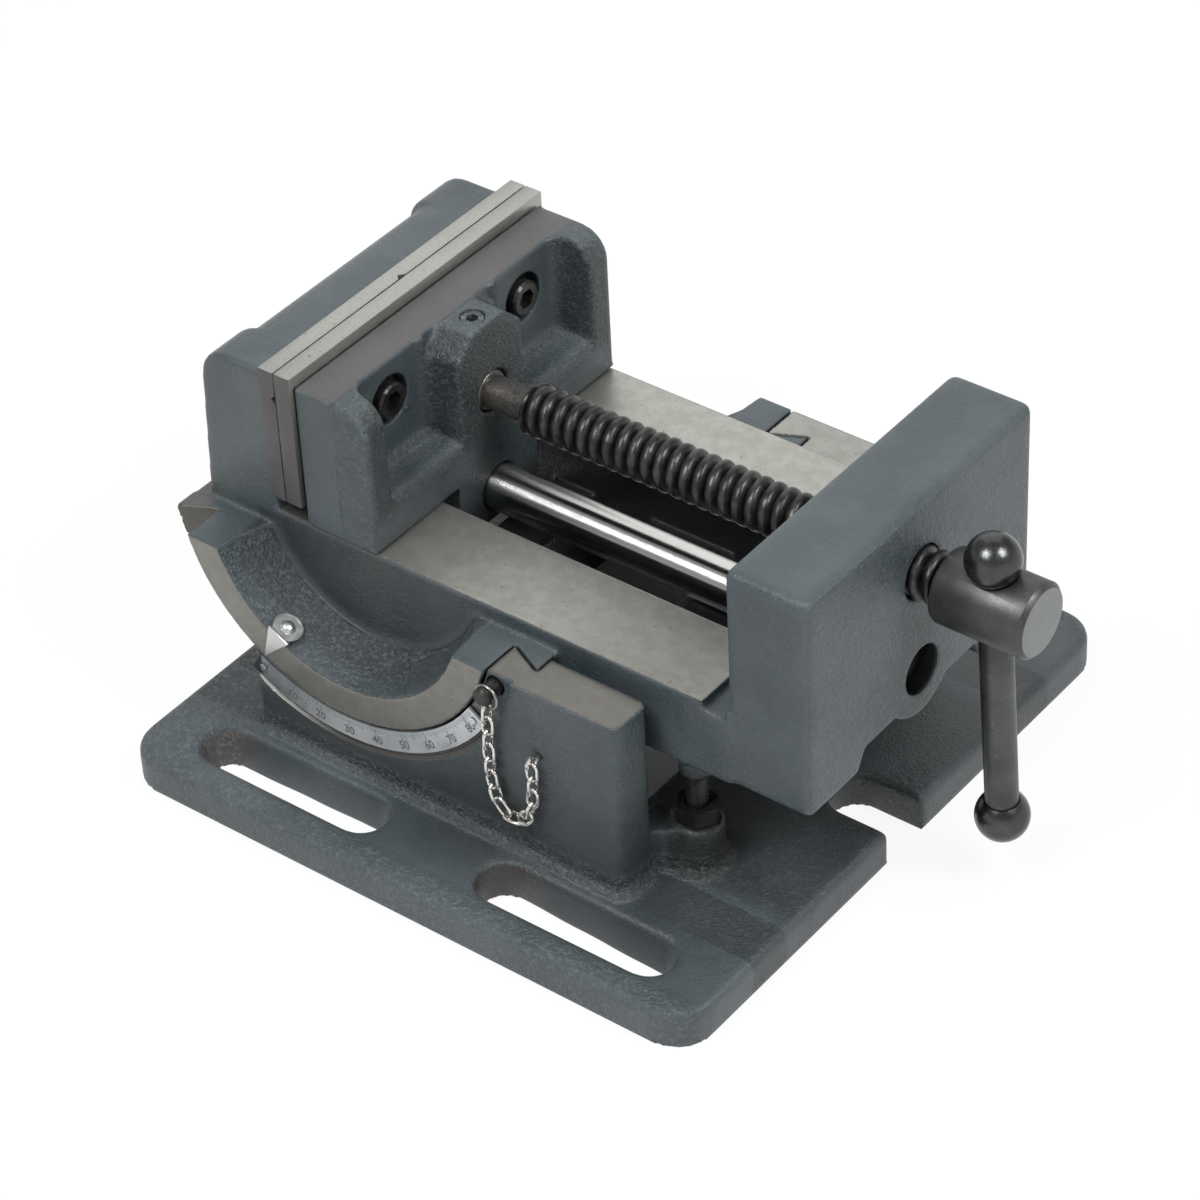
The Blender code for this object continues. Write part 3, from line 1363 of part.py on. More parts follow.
def main():
    for item in list(bpy.data.objects):
        bpy.data.objects.remove(item, do_unlink=True)
    vise = bpy.data.objects.new("vise", None)
    bpy.context.scene.collection.objects.link(vise)
    vise["place"] = (0.0, 0.0, 0.0)
    vise.location = (FRAME_SHIFT, 0, 0)
    pin_x, pin_z = pin_place()
    clamp_x, clamp_z = clamp_place()
    body = pivot("tilt_axis", (PIVOT_X, 0.0, PIVOT_Z), vise)
    jaw = pivot("jaw_slide", (PLATE_FACE_MIDDLE, 0.0, SCREW_Z), body)
    screw = pivot("screw_axis", (HUB_RIGHT, 0.0, SCREW_Z), jaw)
    handle = pivot("handle_axis", (HANDLE_X, 0.0, SCREW_Z), screw)
    pin = pivot("pin_axis", (pin_x, -WALL_OUTER, pin_z), vise)
    stop = pivot("stop_axis", (STOP_X, STOP_Y, STOP_BOSS_TOP), vise)
    clamp = pivot("clamp_axis", (clamp_x, WALL_OUTER, clamp_z), vise)
    make_base(vise)
    make_scale(vise)
    make_stop_nut(vise)
    make_chain(vise)
    make_chain_eye(vise)
    make_lock_pin(pin)
    make_pin_ring(pin)
    make_stop_screw(stop)
    make_clamp_screw(clamp)
    make_vise_body(body)
    make_jaw_fittings(body, jaw)
    make_guide_rod(body)
    make_pointer(body)
    make_moving_jaw(jaw)
    make_retaining_screw(jaw)
    make_lead_screw(screw)
    make_handle(handle)


main()
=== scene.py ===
"""Looks of the tilting angle vise: castings, screw thread, chain, degree scale and studio."""

import math

import bmesh
import bpy
import numpy as np
from mathutils import Matrix, Vector


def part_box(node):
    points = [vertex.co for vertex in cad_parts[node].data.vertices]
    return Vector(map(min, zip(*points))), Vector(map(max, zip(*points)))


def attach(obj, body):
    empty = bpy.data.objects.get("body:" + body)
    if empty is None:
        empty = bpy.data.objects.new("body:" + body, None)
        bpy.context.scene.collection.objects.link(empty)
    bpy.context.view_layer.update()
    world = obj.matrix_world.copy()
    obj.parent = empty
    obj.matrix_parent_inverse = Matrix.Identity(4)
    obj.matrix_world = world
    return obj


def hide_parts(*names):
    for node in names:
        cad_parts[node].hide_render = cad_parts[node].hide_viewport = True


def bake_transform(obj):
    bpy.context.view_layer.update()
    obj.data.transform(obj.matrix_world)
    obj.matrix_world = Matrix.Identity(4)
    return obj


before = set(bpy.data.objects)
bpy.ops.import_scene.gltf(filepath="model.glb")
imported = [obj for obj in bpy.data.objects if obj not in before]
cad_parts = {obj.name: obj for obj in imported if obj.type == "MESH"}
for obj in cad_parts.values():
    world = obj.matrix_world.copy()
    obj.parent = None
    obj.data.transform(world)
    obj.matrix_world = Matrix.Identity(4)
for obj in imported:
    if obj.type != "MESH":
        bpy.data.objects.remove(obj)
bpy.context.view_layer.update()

# Places on the vise, in metres
SHIFT = -0.0166374
PIVOT = Vector((-0.0541374, 0.0, 0.078))
SCREW_Z = 0.091
ROD_Z = 0.06065
RAIL_TOP = 0.0693
WALL_TOP = 0.0647
WALL_INNER = 0.0512
WALL_OUTER = 0.0652
RECESS_FLOOR = 0.0635
RING_BORE = 0.0405
RING_RADIUS = 0.0503
DISC_RADIUS = 0.0607
RECESS_RADIUS = 0.0585
POINTER_ANGLE = -120.4
WALL_LEFT = -0.0826
PLATE_TOP = 0.0105
SLOT_ROW = 0.0772
SLOT_HALF = 0.0070
SLOT_STRAIGHT = 0.0230
SLOT_LEFT = -0.06234
SLOT_RIGHT = 0.02906
STOP = (0.0414, -0.0423)
JAW_TOP = 0.1122
BLOCK_RIGHT = 0.0961 + SHIFT
THREAD_LEFT = -0.023 + SHIFT
THREAD_RIGHT = 0.102 + SHIFT
HUB_LEFT = 0.1035 + SHIFT
HUB_RIGHT = 0.130 + SHIFT
HANDLE_X = 0.1166 + SHIFT
HANDLE_LEAN = math.radians(4.3)
HANDLE_PLACE = Matrix.Translation((HANDLE_X, 0, SCREW_Z)) @ Matrix.Rotation(HANDLE_LEAN, 4, "X")
BALL_TOP = 0.0135
BALL_SPACING = 0.0847
PITCH = 0.004

# Radii of the round pieces, in metres
JOURNAL = 0.0057
THREAD_ROOT = 0.0050
THREAD_CREST = 0.0070
HUB = 0.0100
BALL_SEAT = 0.0073
BALL = 0.0071
BALL_MOUTH = 0.0046
BAR = 0.0043
ROD = 0.0065


# Meshes


def linked(name, data):
    """Puts a new object with the data into the scene."""
    item = bpy.data.objects.new(name, data)
    bpy.context.scene.collection.objects.link(item)
    return item


def dressed(mesh, material):
    mesh.materials.clear()
    mesh.materials.append(material)


def shade_smooth(mesh):
    mesh.polygons.foreach_set("use_smooth", [True] * len(mesh.polygons))


def add_mesh(name, verts, faces, material, smooth=True):
    mesh = bpy.data.meshes.new(name)
    mesh.from_pydata([tuple(v) for v in verts], [], faces)
    mesh.validate()
    if smooth:
        shade_smooth(mesh)
    dressed(mesh, material)
    return linked(name, mesh)


def baked(item):
    """Applies the piece's modifiers to its mesh."""
    graph = bpy.context.evaluated_depsgraph_get()
    mesh = bpy.data.meshes.new_from_object(item.evaluated_get(graph))
    old = item.data
    item.modifiers.clear()
    item.data = mesh
    bpy.data.meshes.remove(old)


def copied(node, name, material):
    """A piece with the node's own mesh, welded, that stands for the node."""
    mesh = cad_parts[node].data.copy()
    dressed(mesh, material)
    item = linked(name, mesh)
    shape = bmesh.new()
    shape.from_mesh(mesh)
    bmesh.ops.remove_doubles(shape, verts=shape.verts, dist=0.00001)
    shape.to_mesh(mesh)
    shape.free()
    if mesh.has_custom_normals:
        bpy.context.view_layer.objects.active = item
        with bpy.context.temp_override(object=item, active_object=item):
            bpy.ops.mesh.customdata_custom_splitnormals_clear()
    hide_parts(node)
    return item


def turned(name, profile, material, steps, axis="X", place=(0, 0, 0), closed=True):
    """Turns (along, radius) points about the X or Z axis, and closes the ends with flat faces."""
    verts = []
    faces = []
    count = len(profile)
    for step in range(steps):
        angle = 2 * math.pi * step / steps
        for along, radius in profile:
            a, b = radius * math.cos(angle), radius * math.sin(angle)
            point = {"X": (along, a, b), "Z": (a, b, along)}[axis]
            verts.append(Vector(point) + Vector(place))
    for step in range(steps):
        here, there = step * count, (step + 1) % steps * count
        for i in range(count - 1):
            faces.append((here + i, here + i + 1, there + i + 1, there + i))
    if closed:
        for i in (0, count - 1):
            if profile[i][1] > 0:
                ring = [step * count + i for step in range(steps)]
                faces.append(ring if i == 0 else ring[::-1])
    item = add_mesh(name, verts, faces, material)
    shape = bmesh.new()
    shape.from_mesh(item.data)
    bmesh.ops.remove_doubles(shape, verts=shape.verts, dist=0.000002)
    bmesh.ops.recalc_face_normals(shape, faces=shape.faces)
    shape.to_mesh(item.data)
    shape.free()
    item.data.set_sharp_from_angle(angle=math.radians(34))
    return item


def edged(item, width, bevel_over, sharp_over):
    """Bevels the edges over one angle, and shades the piece smooth up to another. Both are in degrees."""
    edge = item.modifiers.new("edge", "BEVEL")
    edge.width = width
    edge.segments = 2
    edge.limit_method = "ANGLE"
    edge.angle_limit = math.radians(bevel_over)
    baked(item)
    shade_smooth(item.data)
    item.data.set_sharp_from_angle(angle=math.radians(sharp_over))


def joined(name, items):
    """Puts several pieces' meshes into the first one."""
    shape = bmesh.new()
    for item in items:
        part = item.data.copy()
        part.transform(item.matrix_world)
        shape.from_mesh(part)
        bpy.data.meshes.remove(part)
    first = items[0]
    shape.to_mesh(first.data)
    shape.free()
    first.matrix_world = Matrix.Identity(4)
    first.name = name
    for item in items[1:]:
        bpy.data.objects.remove(item, do_unlink=True)
    return first


# Castings

SOFT_WEIGHT = 0.6
SOFT_ROUNDS = 9
EVEN_WEIGHT = 0.5

# Each slot's middle, and its draft at the left and at the right end
SLOT_DRAFTS = ((SLOT_LEFT, 0.40, 0.27), (SLOT_RIGHT, 0.14, 0.42))
SLOT_REACH = 0.004
PIT_WIDENED = 0.08
PIT_LOWERED = 0.0006
END_LENGTH = 0.006
END_DRAWN_OUT = 0.0018


def relaxed(co, edges, weight, rounds):
    """Moves each vertex toward the mean of its neighbours, as much as its weight says."""
    count = np.bincount(edges.ravel(), minlength=len(co))[:, None]
    for _ in range(rounds):
        total = np.empty_like(co)
        for axis in range(3):
            total[:, axis] = np.bincount(edges[:, 0], co[edges[:, 1], axis], len(co))
            total[:, axis] += np.bincount(edges[:, 1], co[edges[:, 0], axis], len(co))
        co += weight[:, None] * (total / count - co)


def base_draft(co):
    """Draft of the four slots, room under the stop screw, and the walls' left ends, drawn out."""
    depth = np.clip((PLATE_TOP - co[:, 2]) / PLATE_TOP, 0.0, 1.0)
    wavy = 0.012 * np.sin(co[:, 0] * 330 + 1)
    for middle, at_left, at_right in SLOT_DRAFTS:
        for row in (-SLOT_ROW, SLOT_ROW):
            along = np.clip(co[:, 0], middle - SLOT_STRAIGHT, middle + SLOT_STRAIGHT)
            off_x = co[:, 0] - along
            off_y = co[:, 1] - row
            reach = np.clip(1 - (np.hypot(off_x, off_y) - SLOT_HALF) / SLOT_REACH, 0.0, 1.0)
            rise = (along - middle) / (2 * SLOT_STRAIGHT) + 0.5
            share = reach * depth * (at_left + (at_right - at_left) * rise + wavy)
            co[:, 0] -= off_x * share
            co[:, 1] -= off_y * share
    from_stop = np.hypot(co[:, 0] - STOP[0], co[:, 1] - STOP[1])
    pit = (from_stop < 0.0045) & (co[:, 2] > 0.004) & (co[:, 2] < 0.0125)
    co[:, 0] += np.where(pit, PIT_WIDENED * (co[:, 0] - STOP[0]), 0.0)
    co[:, 1] += np.where(pit, PIT_WIDENED * (co[:, 1] - STOP[1]), 0.0)
    co[:, 2] -= np.where(pit, PIT_LOWERED, 0.0)
    side = np.abs(co[:, 1])
    wall = (side > WALL_INNER + 0.0003) & (side < WALL_OUTER + 0.0004) & (co[:, 2] > PLATE_TOP + 0.001)
    stretch = np.clip((WALL_LEFT + END_LENGTH - co[:, 0]) / END_LENGTH, 0.0, 1.0)
    co[:, 0] -= np.where(wall, END_DRAWN_OUT * stretch, 0.0)


def casting(node, material, crisp, voxel, keep_share, draft=None):
    """Round-edged copy of a casting. Its machined faces, where crisp is true, keep narrow edges."""
    item = copied(node, node + "_casting", material)
    remesh = item.modifiers.new("remesh", "REMESH")
    remesh.mode = "VOXEL"
    remesh.voxel_size = voxel
    baked(item)
    mesh = item.data
    co = np.empty(len(mesh.vertices) * 3)
    mesh.vertices.foreach_get("co", co)
    co = co.reshape(-1, 3)
    edges = np.empty(len(mesh.edges) * 2, np.int64)
    mesh.edges.foreach_get("vertices", edges)
    edges = edges.reshape(-1, 2)
    soft = np.where(crisp(co), 0.0, SOFT_WEIGHT)
    relaxed(co, edges, soft, SOFT_ROUNDS)
    relaxed(co, edges, np.full(len(co), EVEN_WEIGHT), 1)
    if draft is not None:
        draft(co)
    mesh.vertices.foreach_set("co", co.ravel())
    mesh.update()
    shade_smooth(mesh)
    fewer = item.modifiers.new("fewer", "DECIMATE")
    fewer.ratio = keep_share
    baked(item)
    dressed(item.data, material)
    return item


def from_pivot(co):
    return np.hypot(co[:, 0] - PIVOT.x, co[:, 2] - PIVOT.z)


def base_crisp(co):
    """The dovetail's groove, the wall tops, the underside, and the stop's boss and hole."""
    x, y, z = co.T
    wall = (np.abs(y) > WALL_INNER) & (np.abs(y) < WALL_OUTER + 0.001)
    dovetail = wall & (from_pivot(co) < DISC_RADIUS + 0.0014)
    tops = z > WALL_TOP - 0.0008
    bottom = z < 0.0007
    from_stop = np.hypot(x - STOP[0], y - STOP[1])
    boss = (from_stop < 0.006) & (z > 0.0236)
    hole = (from_stop < 0.0052) & (z > 0.0011)
    return dovetail | tops | bottom | boss | hole


def body_crisp(co):
    """The rails and the channel between them, the discs' rings, the bores, and the plate's seat."""
    x, y, z = co.T
    rails = (np.abs(z - RAIL_TOP) < 0.0012) & (np.abs(y) < 0.0498) & (x > -0.0853) & (x < 0.0556)
    channel = (np.abs(y) < 0.0232) & (z > 0.0445) & (z < 0.0705) & (x < 0.0555)
    ring = (np.abs(y) > 0.0505) & (from_pivot(co) > RING_BORE - 0.0006)
    rod = np.hypot(y, z - ROD_Z) < 0.0082
    screw = np.hypot(y, z - SCREW_Z) < 0.0088
    seat = (x > -0.0865) & (x < -0.0843) & (z > 0.0735)
    return rails | channel | ring | rod | screw | seat


def jaw_crisp(co):
    """The underside, the plate's seat, and the bores."""
    x, y, z = co.T
    bottom = z < RAIL_TOP + 0.0010
    seat = x < -0.058 + SHIFT + 0.0009
    journal = np.hypot(y, z - SCREW_Z) < 0.0072
    setscrew = (np.hypot(x + 0.041 - SHIFT, y) < 0.0042) & (z > 0.100)
    bores = np.hypot(np.abs(y) - 0.02705, z - 0.100) < 0.0078
    return bottom | seat | journal | setscrew | bores


# Materials


class Nodes:
    """Adds nodes to one cleared tree."""

    def __init__(self, tree):
        self.tree = tree
        tree.nodes.clear()

    def add(self, kind, inputs=None, **settings):
        node = self.tree.nodes.new(kind)
        for name, value in settings.items():
            setattr(node, name, value)
        for key, value in (inputs or {}).items():
            self.feed(node.inputs[key], value)
        return node

    def feed(self, socket, value):
        if isinstance(value, bpy.types.NodeSocket):
            self.tree.links.new(value, socket)
        else:
            socket.default_value = value

    def parts(self, vector):
        node = self.add("ShaderNodeSeparateXYZ", {0: vector})
        return node.outputs[0], node.outputs[1], node.outputs[2]

    def math(self, operation, *values):
        node = self.add("ShaderNodeMath", operation=operation)
        for socket, value in zip(node.inputs, values):
            self.feed(socket, value)
        return node.outputs[0]

    def folded(self, operation, values):
        result = values[0]
        for value in values[1:]:
            result = self.math(operation, result, value)
        return result

    def times(self, *values):
        return self.folded("MULTIPLY", values)

    def most(self, *values):
        return self.folded("MAXIMUM", values)

    def less(self, first, second):
        return self.math("SUBTRACT", first, second)

    def absolute(self, value):
        return self.math("ABSOLUTE", value)

    def opposite(self, share):
        return self.less(1.0, share)

    def length(self, first, second):
        squares = self.math("ADD", self.times(first, first), self.times(second, second))
        return self.math("SQRT", squares)

    def ramp(self, value, low, high, first=0.0, last=1.0, kind="SMOOTHSTEP"):
        """Goes from first to last as the value goes from low to high."""
        inputs = {0: value, 1: low, 2: high, 3: first, 4: last}
        return self.add("ShaderNodeMapRange", inputs, interpolation_type=kind).outputs[0]

    def blended(self, share, first, second):
        """Mixes two numbers."""
        return self.ramp(share, 0.0, 1.0, first, second, "LINEAR")


class Finish(Nodes):
    """Builds one material's nodes. Patterns follow the piece's own coordinates, in metres."""

    def __init__(self, name):
        self.material = bpy.data.materials.new(name)
        self.material.use_nodes = True
        super().__init__(self.material.node_tree)
        coords = self.add("ShaderNodeTexCoord")
        self.place = coords.outputs["Object"]
        self.normal = coords.outputs["Normal"]
        self.x, self.y, self.z = self.parts(self.place)
        self.side = self.absolute(self.y)

    def noise(self, scale, detail, roughness=0.55, stretch=(1, 1, 1)):
        place = self.place
        if stretch != (1, 1, 1):
            place = self.add("ShaderNodeVectorMath", {0: place, 1: stretch}, operation="MULTIPLY").outputs[0]
        inputs = {"Vector": place, "Scale": scale, "Detail": detail, "Roughness": roughness}
        return self.add("ShaderNodeTexNoise", inputs).outputs["Fac"]

    def mixed(self, share, first, second):
        """Mixes two colours."""
        node = self.add("ShaderNodeMix", data_type="RGBA")
        for socket, value in ((0, share), (6, first), (7, second)):
            if isinstance(value, tuple):
                value = (*value, 1.0)
            self.feed(node.inputs[socket], value)
        return node.outputs[2]

    def bump(self, height, depth):
        return self.add("ShaderNodeBump", {"Height": height, "Distance": depth, "Strength": 1.0}).outputs[0]

    def near(self, coordinate, value, reach):
        """1 on the plane where the coordinate has the value, and 0 past the reach."""
        distance = self.absolute(self.less(coordinate, value))
        return self.ramp(distance, self.times(reach, 0.5), reach, 1.0, 0.0)

    def facing(self, axis, sign=1.0):
        """1 where the surface looks along an axis."""
        component = self.parts(self.normal)[axis]
        return self.ramp(self.times(component, sign), 0.72, 0.9)

    def shaded(self, colour, metallic, roughness, **extra):
        inputs = {"Base Color": colour, "Metallic": metallic, "Roughness": roughness}
        for name, value in extra.items():
            inputs[name.replace("_", " ")] = value
        shader = self.add("ShaderNodeBsdfPrincipled", inputs)
        self.add("ShaderNodeOutputMaterial", {"Surface": shader.outputs[0]})
        return self.material


PAINT_DEEP = (0.041, 0.0545, 0.0605)
PAINT_FULL = (0.063, 0.0785, 0.0855)
PAINT_WORN = (0.115, 0.142, 0.152)
PAINT_WRINKLE = (0.165, 0.185, 0.195)
# Lighter paint on ridges: worn edges with a painted highlight
PAINT_EDGE_WEAR_AND_HIGHLIGHT = (0.21, 0.21, 0.205)
PAINT_CHIP = (0.42, 0.37, 0.35)
STAIN = (0.085, 0.068, 0.062)
# Near-black colour for painted shade in hollows, under parts and low down
PAINTED_SHADE = (0.0105, 0.0105, 0.0095)
SURFACED = (0.39, 0.39, 0.36)
SURFACED_DARK = (0.335, 0.333, 0.305)
BROWNED_AND_SHADED = (0.058, 0.053, 0.048)
# Dark brown for bare metal: browning, and painted shade where the bare-metal masks darken it
RUST = (0.15, 0.115, 0.08)
SKIN_DEPTH = 0.00072


def cast_paint(name, bare_of, coarse_of, stain_of, painted_shade_of):
    """Blue-grey paint on cast iron. The functions give bare metal and its darkening (browning in places,
    painted shade in others), grain, stains and painted shade.
    """
    finish = Finish(name)
    cloud = finish.noise(42, 3.0)
    grain = finish.noise(1350, 3.0, 0.62)
    swell = finish.noise(430, 2.0)
    fine = finish.noise(3200, 2.0)
    chips = finish.noise(900, 3.0, 0.65)
    edge = finish.add("ShaderNodeNewGeometry").outputs["Pointiness"]
    ridge = finish.ramp(edge, 0.535, 0.60)
    hollow = finish.ramp(edge, 0.485, 0.43)
    coarse = finish.most(coarse_of(finish), ridge, hollow)
    ragged = finish.ramp(chips, 0.50, 0.70, 0.00010, 0.00050)
    bare, shade = bare_of(finish, ragged)

    tint = finish.mixed(finish.ramp(cloud, 0.3, 0.7), PAINT_DEEP, PAINT_FULL)
    stained = finish.times(stain_of(finish), finish.ramp(chips, 0.38, 0.56, 0.25, 0.9))
    tint = finish.mixed(stained, tint, STAIN)
    tint = finish.mixed(finish.ramp(grain, 0.56, 0.74, 0.0, 0.45), tint, PAINT_WORN)
    # Painted shade: the paint is darkened toward near-black where the shade mask says
    tint = finish.mixed(painted_shade_of(finish), tint, PAINTED_SHADE)
    wrinkled = finish.times(coarse, finish.ramp(chips, 0.48, 0.66, 0.0, 0.40))
    tint = finish.mixed(wrinkled, tint, PAINT_WRINKLE)
    # Ridges lightened: edge wear and a painted highlight
    tint = finish.mixed(finish.times(ridge, finish.ramp(chips, 0.50, 0.62), 0.55), tint, PAINT_EDGE_WEAR_AND_HIGHLIGHT)
    tint = finish.mixed(finish.times(ridge, finish.ramp(chips, 0.63, 0.68)), tint, PAINT_CHIP)

    metal = finish.mixed(finish.ramp(finish.noise(240, 4.0, 0.65), 0.35, 0.65), SURFACED_DARK, SURFACED)
    # Bare metal darkened by its shade value: browning in places, painted shade in grooves, on flanks and on
    # the rail near the block
    metal = finish.mixed(shade, metal, BROWNED_AND_SHADED)
    metal = finish.mixed(finish.ramp(finish.noise(520, 2.0), 0.66, 0.74, 0.0, 0.5), metal, RUST)

    colour = finish.mixed(bare, tint, metal)
    painted = finish.ramp(grain, 0.3, 0.7, 0.30, 0.46)
    roughness = finish.blended(bare, painted, finish.ramp(fine, 0.3, 0.7, 0.36, 0.48))
    height = finish.math("ADD", grain, finish.times(swell, 0.6))
    height = finish.times(height, finish.blended(coarse, 0.30, 1.0))
    height = finish.math("ADD", height, finish.times(fine, 0.10))
    height = finish.times(height, finish.blended(bare, 1.0, 0.06))
    return finish.shaded(colour, finish.times(bare, 0.9), roughness, Normal=finish.bump(height, SKIN_DEPTH))


def pivot_radius(finish):
    return finish.length(finish.less(finish.x, PIVOT.x), finish.less(finish.z, PIVOT.z))


def stop_distance(finish):
    return finish.length(finish.less(finish.x, STOP[0]), finish.less(finish.y, STOP[1]))


def rod_radius(finish):
    return finish.length(finish.y, finish.less(finish.z, ROD_Z))


def base_bare(finish, ragged):
    """Wall tops and underside, the dovetail's groove, and the rim round the scale's recess."""
    side = finish.side
    radius = pivot_radius(finish)
    top = finish.times(finish.near(finish.z, WALL_TOP, ragged), finish.facing(2))
    low = finish.times(finish.near(finish.z, 0.0, ragged), finish.facing(2, -1.0))
    past_scale = finish.times(finish.ramp(finish.x, -0.024, -0.020), finish.ramp(finish.z, 0.050, 0.053))
    shelf = finish.times(
        finish.ramp(side, RECESS_FLOOR, RECESS_FLOOR + 0.0003),
        finish.ramp(side, 0.0648, 0.0645),
        finish.opposite(past_scale),
        finish.ramp(radius, RECESS_RADIUS - 0.0003, RECESS_RADIUS - 0.0001, 1.0, 0.0),
    )
    wall = finish.times(
        finish.ramp(side, WALL_INNER + 0.0003, WALL_INNER + 0.0008),
        finish.ramp(side, RECESS_FLOOR + 0.0003, RECESS_FLOOR),
    )
    groove = finish.times(
        finish.ramp(radius, DISC_RADIUS, DISC_RADIUS + 0.0002, 1.0, 0.0),
        finish.most(shelf, wall),
        finish.opposite(finish.facing(2)),
    )
    rim = finish.times(
        finish.near(radius, RECESS_RADIUS + 0.0001, 0.0005),
        finish.ramp(side, 0.0640, 0.0643),
        finish.opposite(past_scale),
    )
    # Painted shade in the dovetail's groove; the front wall's top is painted darker than the rear one's, and
    # the rim darker to the right
    shade = finish.most(
        finish.times(groove, 0.9),
        finish.times(top, finish.ramp(finish.y, -0.02, 0.02, 0.60, 0.16)),
        finish.times(rim, finish.ramp(finish.x, -0.082, -0.052, 0.0, 0.9)),
    )
    return finish.most(top, low, groove, rim), shade


def base_stain(finish):
    """Rusty left ends of the slots' walls."""
    across = finish.absolute(finish.less(finish.side, SLOT_ROW))
    level = finish.absolute(finish.parts(finish.normal)[2])
    left_end = finish.ramp(finish.x, SLOT_LEFT - 0.012, SLOT_LEFT - 0.024, 0.06, 1.0)
    right_end = finish.times(
        finish.ramp(finish.x, SLOT_RIGHT - 0.040, SLOT_RIGHT - 0.036),
        finish.ramp(finish.x, SLOT_RIGHT - 0.012, SLOT_RIGHT - 0.024),
    )
    return finish.times(
        finish.ramp(across, 0.0082, 0.0076),
        finish.ramp(finish.z, 0.0104, 0.0096),
        finish.ramp(finish.x, SLOT_LEFT - 0.0316, SLOT_LEFT - 0.0308),
        finish.ramp(finish.x, SLOT_RIGHT + 0.0316, SLOT_RIGHT + 0.0308),
        finish.most(left_end, right_end),
        finish.ramp(finish.x, SLOT_RIGHT + 0.002, SLOT_RIGHT - 0.004, 0.04, 1.0),
        finish.ramp(level, 0.7, 0.4),
    )


def base_grime(finish):
    """Painted shade under the block, round the stop, on the plate beside the walls, low on the walls' faces
    and inside them.
    """
    side = finish.side
    under = finish.times(
        finish.ramp(side, 0.054, 0.044),
        finish.ramp(finish.x, 0.022, 0.034),
        finish.ramp(finish.x, 0.080, 0.070),
        0.6,
    )
    inside = finish.times(finish.ramp(side, WALL_INNER, 0.0500), finish.ramp(finish.x, 0.026, 0.020), 0.7)
    post = finish.ramp(stop_distance(finish), 0.0105, 0.0080, 0.0, 0.75)
    foot = finish.times(
        finish.ramp(side, WALL_INNER, WALL_INNER + 0.0006),
        finish.ramp(side, 0.0660, 0.0656),
        finish.ramp(finish.z, 0.050, 0.014, 0.0, 0.5),
    )
    beside = finish.times(
        finish.ramp(side, 0.0645, 0.0655),
        finish.ramp(side, 0.094, 0.072, 0.0, 0.38),
        finish.ramp(finish.z, 0.0125, 0.0110),
        finish.ramp(finish.x, -0.050, -0.015),
        finish.ramp(finish.x, 0.075, 0.050),
    )
    return finish.most(under, post, beside, foot, inside)


def base_coarse(finish):
    """Rims of the plate and feet of the walls are rougher than the flats."""
    rim = finish.most(
        finish.ramp(finish.absolute(finish.x), 0.084, 0.088),
        finish.ramp(finish.side, 0.084, 0.088),
    )
    foot = finish.times(finish.ramp(finish.z, 0.0106, 0.0112), finish.ramp(finish.z, 0.018, 0.015))
    patch = finish.ramp(finish.noise(24, 2.0), 0.50, 0.62, 0.0, 0.3)
    return finish.most(rim, foot, patch)


def body_bare(finish, ragged):
    """Rails, the front of the discs' rings and their slanted flanks."""
    side = finish.side
    rails = finish.times(finish.near(finish.z, RAIL_TOP, ragged), finish.facing(2))
    face = finish.absolute(finish.parts(finish.normal)[1])
    front = finish.times(finish.near(side, WALL_OUTER, ragged), finish.ramp(face, 0.72, 0.9))
    flank = finish.times(
        finish.ramp(pivot_radius(finish), RING_RADIUS - 0.0003, RING_RADIUS - 0.0001),
        finish.ramp(side, 0.0500, 0.0504),
        finish.opposite(finish.facing(2)),
        finish.ramp(side, 0.0645, 0.0640),
    )
    # Painted shade on the front rail toward the block and on the rings' flanks; the ring fronts are darkened
    # a little
    painted_shade_near_block = finish.times(finish.ramp(finish.y, -0.005, -0.012), finish.ramp(finish.x, -0.03, 0.04))
    shade = finish.most(finish.times(front, 0.44), finish.times(flank, 0.8), finish.times(painted_shade_near_block, 0.36))
    return finish.most(rails, front, flank), shade


def body_stain(finish):
    """Pinkish rubbing on the cradle's left tips and a few brown spots in the bowls."""
    tip = finish.times(finish.ramp(finish.x, -0.104, -0.108), finish.ramp(finish.z, 0.057, 0.060), 0.8)
    spot = finish.times(
        finish.ramp(finish.side, 0.0500, 0.0494),
        finish.ramp(finish.side, 0.0470, 0.0480),
        finish.ramp(finish.noise(48, 2.0), 0.60, 0.74, 0.0, 0.5),
    )
    return finish.most(tip, spot)


def body_grime(finish):
    """Painted shade between the rails, low on the body by the stop, in the rod's hole and in the bowls."""
    side = finish.side
    channel = finish.times(
        finish.ramp(side, 0.0226, 0.0221),
        finish.ramp(finish.z, 0.0692, 0.0670),
        finish.ramp(finish.x, BLOCK_RIGHT - 0.0244, BLOCK_RIGHT - 0.0250),
        finish.ramp(finish.x, -0.092, -0.088),
        0.92,
    )
    low = finish.times(
        finish.ramp(stop_distance(finish), 0.016, 0.010),
        finish.ramp(finish.z, 0.046, 0.040),
        0.8,
    )
    hole = finish.times(
        finish.ramp(finish.x, BLOCK_RIGHT - 0.0052, BLOCK_RIGHT - 0.0048),
        finish.ramp(rod_radius(finish), 0.0073, 0.0070),
        finish.ramp(finish.x, BLOCK_RIGHT - 0.0004, BLOCK_RIGHT - 0.0010),
        0.9,
    )
    bowl = finish.times(
        finish.ramp(pivot_radius(finish), 0.0402, 0.0392),
        finish.ramp(side, 0.0402, 0.0412),
        finish.ramp(finish.z, 0.0690, 0.0672, 0.0, 0.52),
    )
    return finish.most(channel, low, bowl, hole)


